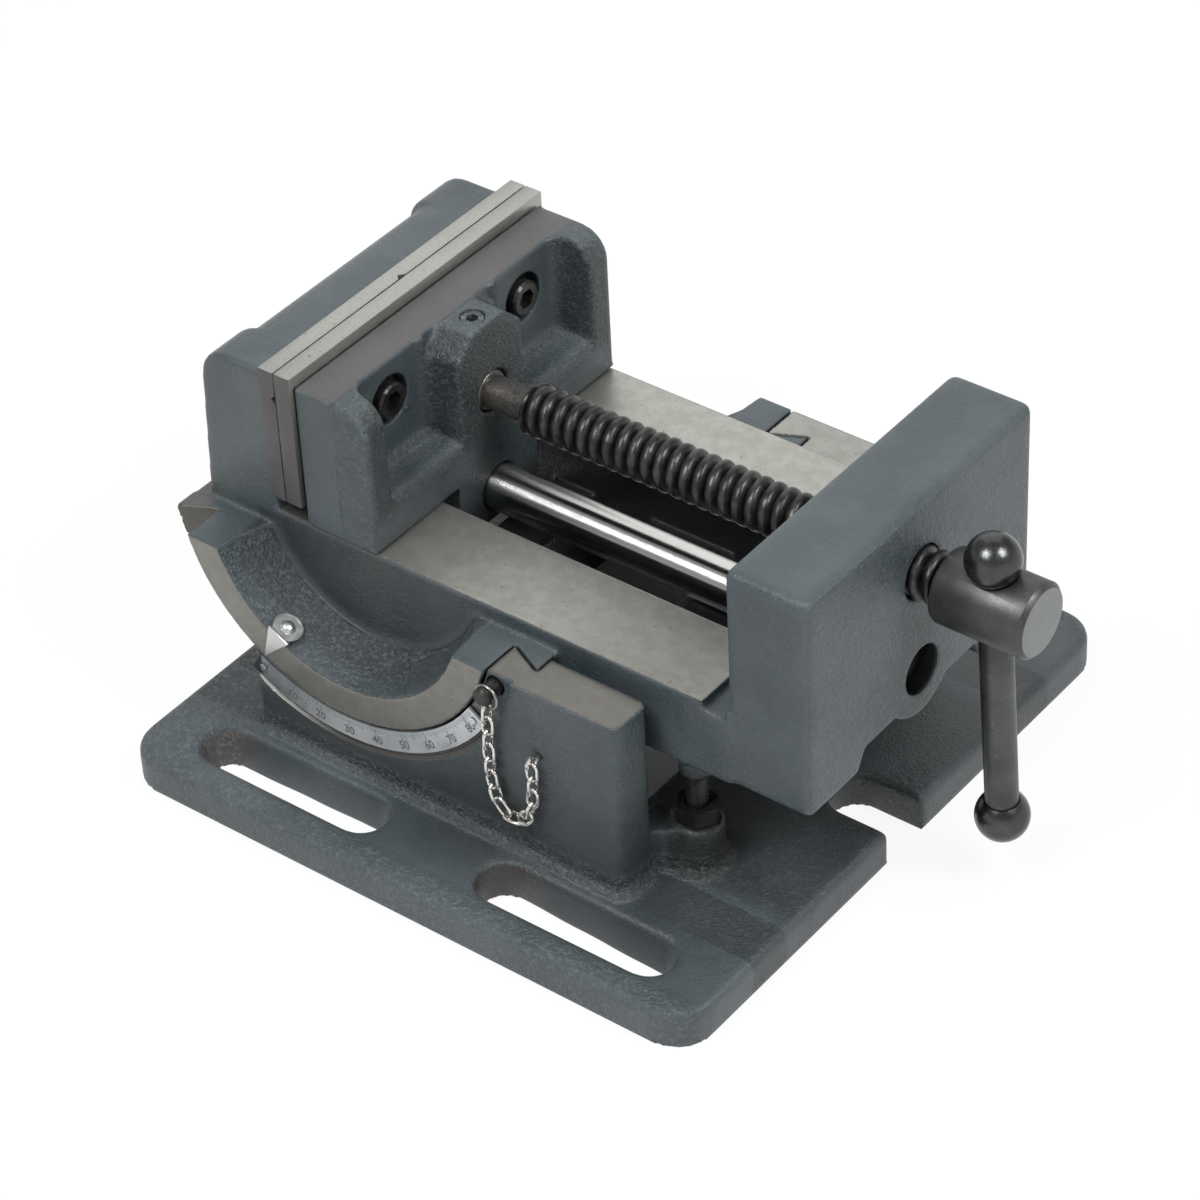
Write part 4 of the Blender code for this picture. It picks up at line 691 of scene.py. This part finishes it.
def body_coarse(finish):
    """The bowls' ledges and the block's outer face have the roughest casting skin."""
    ledge = finish.times(finish.ramp(finish.side, 0.0495, 0.0505), finish.ramp(finish.z, 0.0640, 0.0636))
    block = finish.ramp(finish.x, BLOCK_RIGHT - 0.0006, BLOCK_RIGHT - 0.0002, 0.0, 0.65)
    patch = finish.ramp(finish.noise(30, 2.0), 0.54, 0.66, 0.0, 0.35)
    return finish.most(ledge, block, patch)


def jaw_bare(finish, ragged):
    """Underside that slides on the rails."""
    bare = finish.times(finish.near(finish.z, RAIL_TOP + 0.0003, ragged), finish.facing(2, -1.0))
    return bare, 0.2


def jaw_stain(finish):
    """Brown dirt on the top strip beside the plate, and a few spots elsewhere."""
    strip = finish.times(
        finish.facing(2),
        finish.ramp(finish.z, JAW_TOP - 0.003, JAW_TOP - 0.002, 0.0, 0.8),
        finish.ramp(finish.x, -0.0620, -0.0640),
    )
    return finish.most(strip, finish.ramp(finish.noise(70, 2.0), 0.66, 0.76, 0.0, 0.3))


def jaw_grime(finish):
    """Painted shade in the pocket of the cap screws, and darker low down on the jaw."""
    pocket = finish.times(
        finish.ramp(finish.x, -0.0636, -0.0606, 0.0, 0.58),
        finish.ramp(finish.z, 0.076, 0.082),
        finish.ramp(finish.side, 0.0480, 0.0470),
        finish.opposite(finish.facing(2)),
    )
    return finish.most(pocket, finish.ramp(finish.z, 0.066, 0.056, 0.0, 0.8))


def jaw_coarse(finish):
    """The pocket of the cap screws has the roughest skin, more so above its floor."""
    pocket = finish.ramp(finish.x, -0.0632, -0.0622)
    return finish.times(pocket, finish.ramp(finish.z, 0.076, 0.079, 0.35, 0.72))


def ground_steel():
    """Ground jaw plates. Their ends are painted dark, and the V grooves get painted shade."""
    finish = Finish("ground_steel")
    lines = finish.noise(260, 3.0, 0.6, (1, 30, 1))
    cloud = finish.noise(60, 3.0)
    fleck = finish.noise(900, 3.0, 0.7)
    spots = finish.ramp(finish.noise(420, 2.0), 0.70, 0.76)
    colour = finish.mixed(cloud, (0.35, 0.348, 0.322), (0.43, 0.43, 0.40))
    colour = finish.mixed(finish.ramp(fleck, 0.42, 0.60, 0.0, 0.35), colour, (0.30, 0.30, 0.275))
    colour = finish.mixed(finish.times(spots, 0.7), colour, (0.14, 0.11, 0.08))
    sideways, upward = (finish.absolute(part) for part in finish.parts(finish.normal)[1:])
    end = finish.ramp(sideways, 0.35, 0.6)
    # Painted shade on the slanted faces of the V grooves, and dark paint on the plates' ends
    groove_shade = finish.times(finish.ramp(upward, 0.35, 0.55), finish.ramp(upward, 0.92, 0.85))
    dark = finish.most(end, groove_shade)
    colour = finish.mixed(dark, colour, finish.mixed(cloud, (0.055, 0.052, 0.054), (0.105, 0.096, 0.096)))
    roughness = finish.blended(dark, finish.ramp(lines, 0.3, 0.7, 0.30, 0.44), 0.5)
    metallic = finish.blended(dark, 1.0, 0.3)
    return finish.shaded(colour, metallic, roughness, Normal=finish.bump(lines, 0.00004))


def bright_steel():
    """Polished rod. The grinding runs round it, so a highlight spreads along it. Its end in the block's hole
    gets painted shade.
    """
    finish = Finish("bright_steel")
    lines = finish.noise(900, 2.0, 0.6, (6, 0.2, 0.2))
    colour = finish.mixed(finish.noise(40, 2.0), (0.50, 0.50, 0.485), (0.60, 0.60, 0.585))
    # Painted shade on the rod's end, deep in the block's hole
    end = finish.ramp(finish.x, BLOCK_RIGHT - 0.0056, BLOCK_RIGHT - 0.0050)
    colour = finish.mixed(end, colour, (0.03, 0.03, 0.028))
    round_it = finish.add("ShaderNodeTangent", direction_type="RADIAL", axis="X").outputs[0]
    roughness = finish.ramp(lines, 0.3, 0.7, 0.20, 0.27)
    return finish.shaded(colour, 1.0, roughness, Normal=finish.bump(lines, 0.000006), Anisotropic=0.85,
                         Anisotropic_Rotation=0.25, Tangent=round_it)


def black_oxide(name, dark, light, low, high, metallic):
    finish = Finish(name)
    cloud = finish.noise(130, 3.0)
    fine = finish.noise(1500, 3.0)
    colour = finish.mixed(finish.ramp(cloud, 0.35, 0.7), dark, light)
    colour = finish.mixed(finish.ramp(fine, 0.64, 0.76, 0.0, 0.35), colour, (0.10, 0.095, 0.088))
    roughness = finish.ramp(fine, 0.3, 0.7, low, high)
    return finish.shaded(colour, metallic, roughness, Normal=finish.bump(fine, 0.00003))


def screw_steel():
    """Black thread with an oily sheen, and a neck that is worn to a browner grey."""
    finish = Finish("screw_steel")
    fine = finish.noise(1500, 3.0)
    cloud = finish.ramp(finish.noise(260, 3.0), 0.42, 0.66)
    colour = finish.mixed(cloud, (0.036, 0.036, 0.035), (0.074, 0.073, 0.070))
    neck = finish.times(
        finish.ramp(finish.x, THREAD_LEFT + 0.0004, THREAD_LEFT - 0.0004),
        finish.ramp(fine, 0.35, 0.65, 0.6, 1.0),
    )
    colour = finish.mixed(neck, colour, (0.235, 0.220, 0.205))
    roughness = finish.ramp(fine, 0.3, 0.7, 0.33, 0.44)
    return finish.shaded(colour, 0.88, roughness, Normal=finish.bump(fine, 0.00003))


def handle_steel():
    """Dark turned steel, brushed on the hub's end face, which is painted lighter as a painted reflection."""
    finish = Finish("handle_steel")
    cloud = finish.noise(110, 3.0)
    fine = finish.noise(1800, 3.0)
    rub = finish.ramp(finish.noise(420, 3.0, 0.7), 0.60, 0.72, 0.0, 0.35)
    colour = finish.mixed(finish.ramp(cloud, 0.3, 0.7), (0.066, 0.067, 0.069), (0.096, 0.097, 0.098))
    colour = finish.mixed(rub, colour, (0.20, 0.20, 0.20))
    # Painted reflection: the hub's end face is painted lighter
    end = finish.times(finish.facing(0), finish.ramp(finish.x, HUB_RIGHT - 0.0016, HUB_RIGHT - 0.0008))
    colour = finish.mixed(end, colour, finish.mixed(cloud, (0.20, 0.21, 0.21), (0.28, 0.29, 0.29)))
    roughness = finish.blended(end, finish.ramp(fine, 0.3, 0.7, 0.38, 0.47), 0.5)
    return finish.shaded(colour, 0.85, roughness, Normal=finish.bump(fine, 0.00002))


def nickel(name, dark, light, low, high):
    finish = Finish(name)
    cloud = finish.noise(500, 2.0)
    colour = finish.mixed(cloud, dark, light)
    roughness = finish.ramp(cloud, 0.3, 0.7, low, high)
    return finish.shaded(colour, 1.0, roughness, Normal=finish.bump(cloud, 0.00002))


def scale_white():
    """Satin silver strip of the degree scale, dull and stained toward its low end."""
    finish = Finish("scale_white")
    cloud = finish.noise(160, 3.0)
    stain = finish.ramp(finish.noise(420, 3.0, 0.6), 0.55, 0.7, 0.0, 0.4)
    colour = finish.mixed(cloud, (0.50, 0.53, 0.55), (0.64, 0.67, 0.68))
    colour = finish.mixed(stain, colour, (0.28, 0.29, 0.30))
    dull = finish.ramp(finish.x, -0.050, -0.088, 0.0, 0.80)
    colour = finish.mixed(dull, colour, finish.mixed(cloud, (0.13, 0.145, 0.155), (0.22, 0.24, 0.25)))
    colour = finish.mixed(finish.ramp(finish.x, -0.0806, -0.0814), colour, PAINT_DEEP)
    roughness = finish.ramp(cloud, 0.3, 0.7, 0.30, 0.42)
    return finish.shaded(colour, 0.75, roughness, Normal=finish.bump(cloud, 0.00004))


def ink():
    finish = Finish("scale_ink")
    fade = finish.noise(700, 2.0)
    colour = finish.mixed(fade, (0.05, 0.06, 0.075), (0.14, 0.16, 0.18))
    return finish.shaded(colour, 0.0, finish.ramp(fade, 0.3, 0.7, 0.4, 0.5))


PAINT_BASE = cast_paint("cast_paint_base", base_bare, base_coarse, base_stain, base_grime)
PAINT_BODY = cast_paint("cast_paint_body", body_bare, body_coarse, body_stain, body_grime)
PAINT_JAW = cast_paint("cast_paint_jaw", jaw_bare, jaw_coarse, jaw_stain, jaw_grime)
GROUND_STEEL = ground_steel()
BRIGHT_STEEL = bright_steel()
SCREW_STEEL = screw_steel()
HANDLE_STEEL = handle_steel()
BALL_BLACK = black_oxide("ball_black", (0.062, 0.064, 0.066), (0.090, 0.092, 0.094), 0.22, 0.30, 0.95)
SMALL_BLACK = black_oxide("small_black", (0.022, 0.021, 0.021), (0.048, 0.045, 0.042), 0.24, 0.38, 0.6)
NICKEL = nickel("nickel", (0.62, 0.60, 0.56), (0.84, 0.83, 0.80), 0.14, 0.26)
RING_STEEL = nickel("ring_steel", (0.22, 0.21, 0.19), (0.34, 0.33, 0.31), 0.25, 0.35)
POINTER_SILVER = nickel("pointer_silver", (0.58, 0.58, 0.57), (0.66, 0.66, 0.65), 0.34, 0.42)
SCREW_DOME = nickel("screw_dome", (0.56, 0.57, 0.57), (0.66, 0.67, 0.67), 0.30, 0.38)
PAINTED_SCREW = cast_paint("painted_screw", jaw_bare, jaw_coarse, jaw_stain, jaw_grime)
SCALE_WHITE = scale_white()
INK = ink()


# The three castings

base = casting("base", PAINT_BASE, base_crisp, voxel=0.00055, keep_share=0.22, draft=base_draft)
body = casting("vise_body", PAINT_BODY, body_crisp, voxel=0.00052, keep_share=0.25)
jaw = casting("moving_jaw", PAINT_JAW, jaw_crisp, voxel=0.00050, keep_share=0.3)
for item, rides_on in ((base, "base"), (body, "vise_body"), (jaw, "moving_jaw")):
    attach(item, rides_on)


# Lead screw with its real thread


def thread_mesh():
    """Rounded trapezoid thread as one strip that winds along X, with a chamfer at its left end."""
    profile_steps, steps = 14, 56
    chamfer = 0.0012
    profile = []
    for step in range(profile_steps + 1):
        share = step / profile_steps
        fall = abs(share * 2 - 1) ** 2.7
        profile.append((share, THREAD_CREST - (THREAD_CREST - THREAD_ROOT) * fall))
    turns = int((THREAD_RIGHT - THREAD_LEFT) / PITCH) + 2
    count = len(profile)
    verts = []
    for i in range(turns * steps + 1):
        angle = 2 * math.pi * i / steps
        start = THREAD_LEFT - PITCH + PITCH * i / steps
        for share, radius in profile:
            x = start + share * PITCH
            if x < THREAD_LEFT + chamfer:
                radius = min(radius, THREAD_CREST - chamfer + max(0.0, x - THREAD_LEFT))
            inside = min(max(x, THREAD_LEFT), THREAD_RIGHT)
            verts.append((inside, radius * math.cos(angle), radius * math.sin(angle) + SCREW_Z))
    faces = []
    for i in range(turns * steps):
        for j in range(count - 1):
            a = i * count + j
            faces.append((a, a + count, a + count + 1, a + 1))
    item = add_mesh("screw_thread", verts, faces, SCREW_STEEL)
    shape = bmesh.new()
    shape.from_mesh(item.data)
    bmesh.ops.remove_doubles(shape, verts=shape.verts, dist=0.000004)
    bmesh.ops.dissolve_degenerate(shape, edges=shape.edges, dist=0.000002)
    bmesh.ops.recalc_face_normals(shape, faces=shape.faces)
    shape.to_mesh(item.data)
    shape.free()
    item.data.set_sharp_from_angle(angle=math.radians(50))
    return item


def hub_seats():
    """Cutter for the hub's cross hole, with a round seat for the ball at each end."""
    depth, steps = 0.00566, 8
    seats = []
    for step in range(steps + 1):
        along = BALL_TOP - depth * (1 - step / steps)
        seats.append((along, math.sqrt(BALL_SEAT ** 2 - (BALL_TOP - along) ** 2)))
    seats.append((0.02, BALL_SEAT))
    below = [(-along, radius) for along, radius in reversed(seats)]
    cutter = turned("bore", below + seats, HANDLE_STEEL, 48, "Z")
    cutter.matrix_world = HANDLE_PLACE
    return cutter


def screw_hub():
    profile = [
        (HUB_LEFT, 0.0050), (HUB_LEFT, 0.0088), (HUB_LEFT + 0.0004, 0.0096), (HUB_LEFT + 0.0012, HUB),
        (HUB_RIGHT - 0.0013, HUB), (HUB_RIGHT - 0.0012, 0.00995), (HUB_RIGHT - 0.0002, 0.0090),
        (HUB_RIGHT, 0.0088),
    ]
    hub = turned("screw_hub", profile, HANDLE_STEEL, 72, place=(0, 0, SCREW_Z))
    cutter = hub_seats()
    cut = hub.modifiers.new("bore", "BOOLEAN")
    cut.object = cutter
    cut.solver = "EXACT"
    bpy.context.view_layer.update()
    baked(hub)
    bpy.data.objects.remove(cutter, do_unlink=True)
    edged(hub, 0.0003, bevel_over=40, sharp_over=34)
    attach(hub, "lead_screw")


def lead_screw():
    neck, thread_core, run_out = 0.0045, 0.0051, 0.0060
    profile = [
        (-0.056 + SHIFT, JOURNAL), (-0.0427 + SHIFT, JOURNAL), (-0.0427 + SHIFT, 0.0044),
        (-0.0393 + SHIFT, 0.0044), (-0.0393 + SHIFT, JOURNAL), (-0.0366 + SHIFT, JOURNAL),
        (-0.0361 + SHIFT, 0.0052), (-0.0361 + SHIFT, neck), (THREAD_LEFT - 0.0014, neck),
        (THREAD_LEFT, thread_core), (THREAD_LEFT + 0.001, thread_core),
        (THREAD_RIGHT, thread_core), (THREAD_RIGHT, run_out), (HUB_LEFT, run_out),
    ]
    spindle = turned("spindle", profile, SCREW_STEEL, 56, place=(0, 0, SCREW_Z))
    screw = joined("lead_screw_turned", [thread_mesh(), spindle])
    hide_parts("lead_screw")
    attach(screw, "lead_screw")


screw_hub()
lead_screw()


# Handle


def handle_ball(node, side, along):
    """Ball with a mouth that the bar goes into."""
    mouth = math.asin(BALL_MOUTH / BALL)
    steps = 24
    points = [(along - side * 0.0048, 0.0044), (along - side * 0.0053, 0.0045)]
    for step in range(steps):
        angle = -math.pi / 2 + mouth + (math.pi - mouth) * step / steps
        points.append((along + side * BALL * math.sin(angle), BALL * math.cos(angle)))
    points.append((along + side * BALL, 0.0))
    return turned(node + "_round", points, BALL_BLACK, 56, "Z", closed=False)


def handle():
    top = BALL_TOP
    bottom = top - BALL_SPACING
    ends = [(bottom - 0.003, 0.0041), (bottom - 0.0028, BAR), (top + 0.0028, BAR), (top + 0.003, 0.0041)]
    pieces = [(turned("handle_rod", ends, HANDLE_STEEL, 48, "Z"), "handle_bar")]
    for node, side, along in (("handle_ball_top", 1, top), ("handle_ball_bottom", -1, bottom)):
        pieces.append((handle_ball(node, side, along), node))
    for item, node in pieces:
        item.data.transform(HANDLE_PLACE)
        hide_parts(node)
        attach(item, "handle")


handle()


# Guide rod and jaw plates


def guide_rod():
    low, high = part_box("guide_rod")
    end = 0.0058
    ends = [(low.x, end), (low.x + 0.0006, ROD), (high.x - 0.0006, ROD), (high.x, end)]
    item = turned("guide_rod_ground", ends, BRIGHT_STEEL, 72, place=(0, 0, ROD_Z))
    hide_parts("guide_rod")
    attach(item, "vise_body")


guide_rod()


def bevelled(node, name, material, width, rides_on):
    """The node's own shape with its flat faces whole and its edges broken."""
    item = copied(node, name, material)
    shape = bmesh.new()
    shape.from_mesh(item.data)
    bmesh.ops.dissolve_limit(shape, angle_limit=math.radians(1), verts=shape.verts, edges=shape.edges)
    shape.to_mesh(item.data)
    shape.free()
    item.data.polygons.foreach_set("use_smooth", [False] * len(item.data.polygons))
    edged(item, width, bevel_over=30, sharp_over=40)
    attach(item, rides_on)


bevelled("fixed_jaw_plate", "fixed_plate_ground", GROUND_STEEL, 0.00022, "vise_body")
bevelled("moving_jaw_plate", "moving_plate_ground", GROUND_STEEL, 0.00022, "moving_jaw")


# Chain and ring, with round wire


def round_wire(node, name, material):
    """The node's own wire with rounder sections, and a little thicker to make up for it."""
    item = copied(node, name, material)
    shade_smooth(item.data)
    wider = item.modifiers.new("wider", "DISPLACE")
    wider.strength = 0.0001
    wider.mid_level = 0.0
    finer = item.modifiers.new("finer", "SUBSURF")
    finer.levels = 1
    finer.render_levels = 1
    baked(item)
    return item


def chain():
    """Chain from the pin's ring to the eye. The links nearer the ring keep their place unattached; the others
    ride on the base.
    """
    boxes = [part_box(f"chain_link_{number:02d}") for number in range(1, 15)]
    ring_low, ring_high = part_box("pin_ring")
    eye_low, eye_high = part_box("chain_eye")
    ring_x = (ring_low.x + ring_high.x) / 2
    eye_x = (eye_low.x + eye_high.x) / 2
    for number, (low, high) in enumerate(boxes, start=1):
        item = round_wire(f"chain_link_{number:02d}", f"chain_wire_{number:02d}", NICKEL)
        place = (low.x + high.x) / 2
        if abs(place - ring_x) < abs(place - eye_x):
            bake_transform(item)
        else:
            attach(item, "base")


chain()
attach(round_wire("pin_ring", "pin_ring_wire", RING_STEEL), "lock_pin")


# Pointer and its screw


def pointer():
    """Arrow plate, and its screw: a washer face with a dome, turned about the radius that it sits on."""
    bevelled("pointer", "pointer_plate", POINTER_SILVER, 0.00012, "vise_body")
    low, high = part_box("pointer_screw")
    angle = math.radians(POINTER_ANGLE)
    inward = Vector((-math.cos(angle), 0.0, -math.sin(angle)))
    points = [point.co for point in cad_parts["pointer_screw"].data.vertices]
    top = max((point - PIVOT).dot(inward) for point in points)
    dome, radius, steps = 0.0012, 0.0019, 10
    rim = top - dome
    groove = rim - 0.00012
    head = [
        (top - 0.0018, 0.0038), (rim - 0.0001, 0.0041), (rim, 0.0040), (rim, 0.0036), (groove, 0.0035),
        (groove, 0.0021), (rim, 0.0020),
    ]
    for step in range(1, steps):
        lean = math.pi / 2 * step / steps
        head.append((rim + dome * math.sin(lean), radius * math.cos(lean)))
    head.append((top, 0.0))
    item = turned("pointer_screw_domed", head, SCREW_DOME, 56)
    place = Vector((PIVOT.x, (low.y + high.y) / 2, PIVOT.z))
    item.data.transform(Matrix.Translation(place) @ inward.to_track_quat("X", "Z").to_matrix().to_4x4())
    item.data.update()
    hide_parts("pointer_screw")
    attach(item, "vise_body")


pointer()


# Degree scale: marks and numbers

ZERO = -118.3
MARK_RADIUS = 0.0512
NUMBER_RADIUS = 0.0548
SCALE_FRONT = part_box("angle_scale")[0].y


def scale_marks():
    """A thin bar per degree. The fives and tens are longer and wider."""
    verts, faces = [], []
    front, back = SCALE_FRONT - 0.00002, SCALE_FRONT + 0.00004
    for degree in range(-3, 85):
        if degree % 10 == 0:
            length, half = 0.0024, 0.00013
        elif degree % 5 == 0:
            length, half = 0.0018, 0.0001
        else:
            length, half = 0.0012, 0.00008
        turn = math.radians(ZERO + degree)
        outward = Vector((math.cos(turn), 0, math.sin(turn)))
        across = Vector((-math.sin(turn), 0, math.cos(turn))) * half
        centre = Vector((PIVOT.x, 0, PIVOT.z))
        inner, outer = MARK_RADIUS, MARK_RADIUS + length
        start = len(verts)
        for y in (front, back):
            for radius, side in ((inner, -1), (inner, 1), (outer, 1), (outer, -1)):
                verts.append(centre + outward * radius + across * side + Vector((0, y, 0)))
        faces.append([start + i for i in (0, 1, 2, 3)])
        faces.append([start + i for i in (7, 6, 5, 4)])
        for a, b in ((0, 1), (1, 2), (2, 3), (3, 0)):
            faces.append([start + b, start + a, start + a + 4, start + b + 4])
    item = add_mesh("scale_marks", verts, faces, INK, smooth=False)
    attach(item, "base")


def scale_number(degree):
    """The digits of one number, upright along its radius."""
    curve = bpy.data.curves.new(f"number_{degree}", "FONT")
    curve.body = str(degree)
    curve.size = 0.0034
    curve.extrude = 0.00003
    curve.offset = 0.00006
    curve.align_x = "CENTER"
    curve.align_y = "CENTER"
    text = linked(f"number_{degree}", curve)
    angle = math.radians(ZERO + degree)
    x = PIVOT.x + NUMBER_RADIUS * math.cos(angle)
    z = PIVOT.z + NUMBER_RADIUS * math.sin(angle)
    upright = Matrix.Rotation(math.radians(90), 4, "X")
    turn = Matrix.Rotation(-math.radians(ZERO + degree + 90), 4, "Y")
    text.matrix_world = Matrix.Translation((x, SCALE_FRONT, z)) @ turn @ upright
    bpy.context.view_layer.update()
    graph = bpy.context.evaluated_depsgraph_get()
    digits = linked(f"digits_{degree}", bpy.data.meshes.new_from_object(text.evaluated_get(graph)))
    digits.matrix_world = text.matrix_world
    bpy.data.objects.remove(text, do_unlink=True)
    return digits


def scale_numbers():
    numbers = [scale_number(degree) for degree in range(0, 81, 10)]
    bpy.context.view_layer.update()
    item = joined("scale_numbers", numbers)
    dressed(item.data, INK)
    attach(item, "base")


scale_marks()
scale_numbers()


# Finishes of the CAD pieces that stay


def finished(material, *nodes):
    for node in nodes:
        dressed(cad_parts[node].data, material)


finished(SCALE_WHITE, "angle_scale", "scale_rivet_low", "scale_rivet_high")
finished(NICKEL, "chain_eye")
finished(PAINTED_SCREW, "retaining_screw")
finished(SMALL_BLACK, "stop_nut", "stop_screw", "lock_pin", "clamp_screw", "rod_set_screw",
         "fixed_jaw_screw_front", "fixed_jaw_screw_rear", "moving_jaw_screw_front", "moving_jaw_screw_rear")


# Studio

AMBIENT = 0.12
OVERHEAD = 0.56
CEILING = 0.36
FLOOR_SIZE = 3
FLOOR_GAP = 0.0003

# Each softbox: name, direction, distance, size and power
SOFTBOXES = (
    ("softbox_front", (-0.10, -0.56, 0.82), 1.25, 0.48, 10.6),
    ("softbox_right", (0.60, 0.06, 0.79), 1.25, 0.45, 9.6),
    ("softbox_back", (-0.42, 0.58, 0.70), 1.6, 1.5, 7.0),
)


def seen_by_eye(nodes, path):
    """1 for rays of the camera and for rays from shiny surfaces, 0 for the rays that light things."""
    return nodes.most(path["Is Camera Ray"], path["Is Glossy Ray"], path["Is Transmission Ray"])


def studio():
    """White to the camera, and a dim tent with an open ceiling for the light."""
    scene = bpy.context.scene
    scene.view_settings.view_transform = "Standard"
    scene.world = bpy.data.worlds.new("studio")
    scene.world.use_nodes = True
    nodes = Nodes(scene.world.node_tree)
    path = nodes.add("ShaderNodeLightPath").outputs
    seen = seen_by_eye(nodes, path)
    height = nodes.parts(nodes.add("ShaderNodeTexCoord").outputs["Generated"])[2]
    ceiling = nodes.ramp(height, 0.05, 0.45, 1.0, CEILING)
    backdrop = nodes.blended(path["Is Camera Ray"], ceiling, 1.0)
    tent = nodes.ramp(height, 0.55, 0.85, AMBIENT, OVERHEAD)
    level = nodes.blended(seen, tent, backdrop)
    sky = nodes.add("ShaderNodeBackground", {"Color": (1, 1, 1, 1), "Strength": level})
    nodes.add("ShaderNodeOutputWorld", {0: sky.outputs[0]})

    corners = [(-FLOOR_SIZE, -FLOOR_SIZE, 0), (FLOOR_SIZE, -FLOOR_SIZE, 0), (FLOOR_SIZE, FLOOR_SIZE, 0),
               (-FLOOR_SIZE, FLOOR_SIZE, 0)]
    floor = add_mesh("floor", corners, [(0, 1, 2, 3)], floor_finish())
    floor.location = (0, 0, -FLOOR_GAP)
    for name, direction, distance, size, power in SOFTBOXES:
        light = bpy.data.lights.new(name, "AREA")
        light.shape = "SQUARE"
        light.size = size
        light.energy = power
        item = linked(name, light)
        item.location = Vector(direction).normalized() * distance
        item.rotation_euler = Vector(direction).to_track_quat("Z", "Y").to_euler()


def floor_finish():
    """White to the camera and in reflections. To other rays, and under the base, it is a plain sheet."""
    material = bpy.data.materials.new("floor_white")
    material.use_nodes = True
    nodes = Nodes(material.node_tree)
    seen = seen_by_eye(nodes, nodes.add("ShaderNodeLightPath").outputs)
    along, aside = nodes.parts(nodes.add("ShaderNodeTexCoord").outputs["Object"])[:2]
    past = []
    for coordinate, middle in ((along, SHIFT), (aside, 0.0)):
        distance = nodes.absolute(nodes.less(coordinate, middle))
        past.append(nodes.ramp(distance, 0.056, 0.060, kind="LINEAR"))
    share = nodes.times(nodes.most(*past), 0.9, seen)
    plain = nodes.add("ShaderNodeBsdfDiffuse", {"Color": (0.86, 0.86, 0.86, 1)})
    glow = nodes.add("ShaderNodeEmission", {"Strength": 1.0})
    mix = nodes.add("ShaderNodeMixShader", {0: share, 1: plain.outputs[0], 2: glow.outputs[0]})
    nodes.add("ShaderNodeOutputMaterial", {"Surface": mix.outputs[0]})
    return material


def camera():
    data = bpy.data.cameras.new("camera")
    data.sensor_width = 36.0
    data.lens = 129.03
    item = linked("camera", data)
    place = Vector((0.53006, -0.6727, 0.7337))
    right = Vector((0.7939, 0.6067, -0.0421))
    up = Vector((-0.3540, 0.5173, 0.7793))
    back = Vector((0.4945, -0.6037, 0.6254))
    turn = Matrix((right, up, back)).transposed().to_4x4()
    item.matrix_world = Matrix.Translation(place) @ turn
    bpy.context.scene.camera = item


studio()
camera()
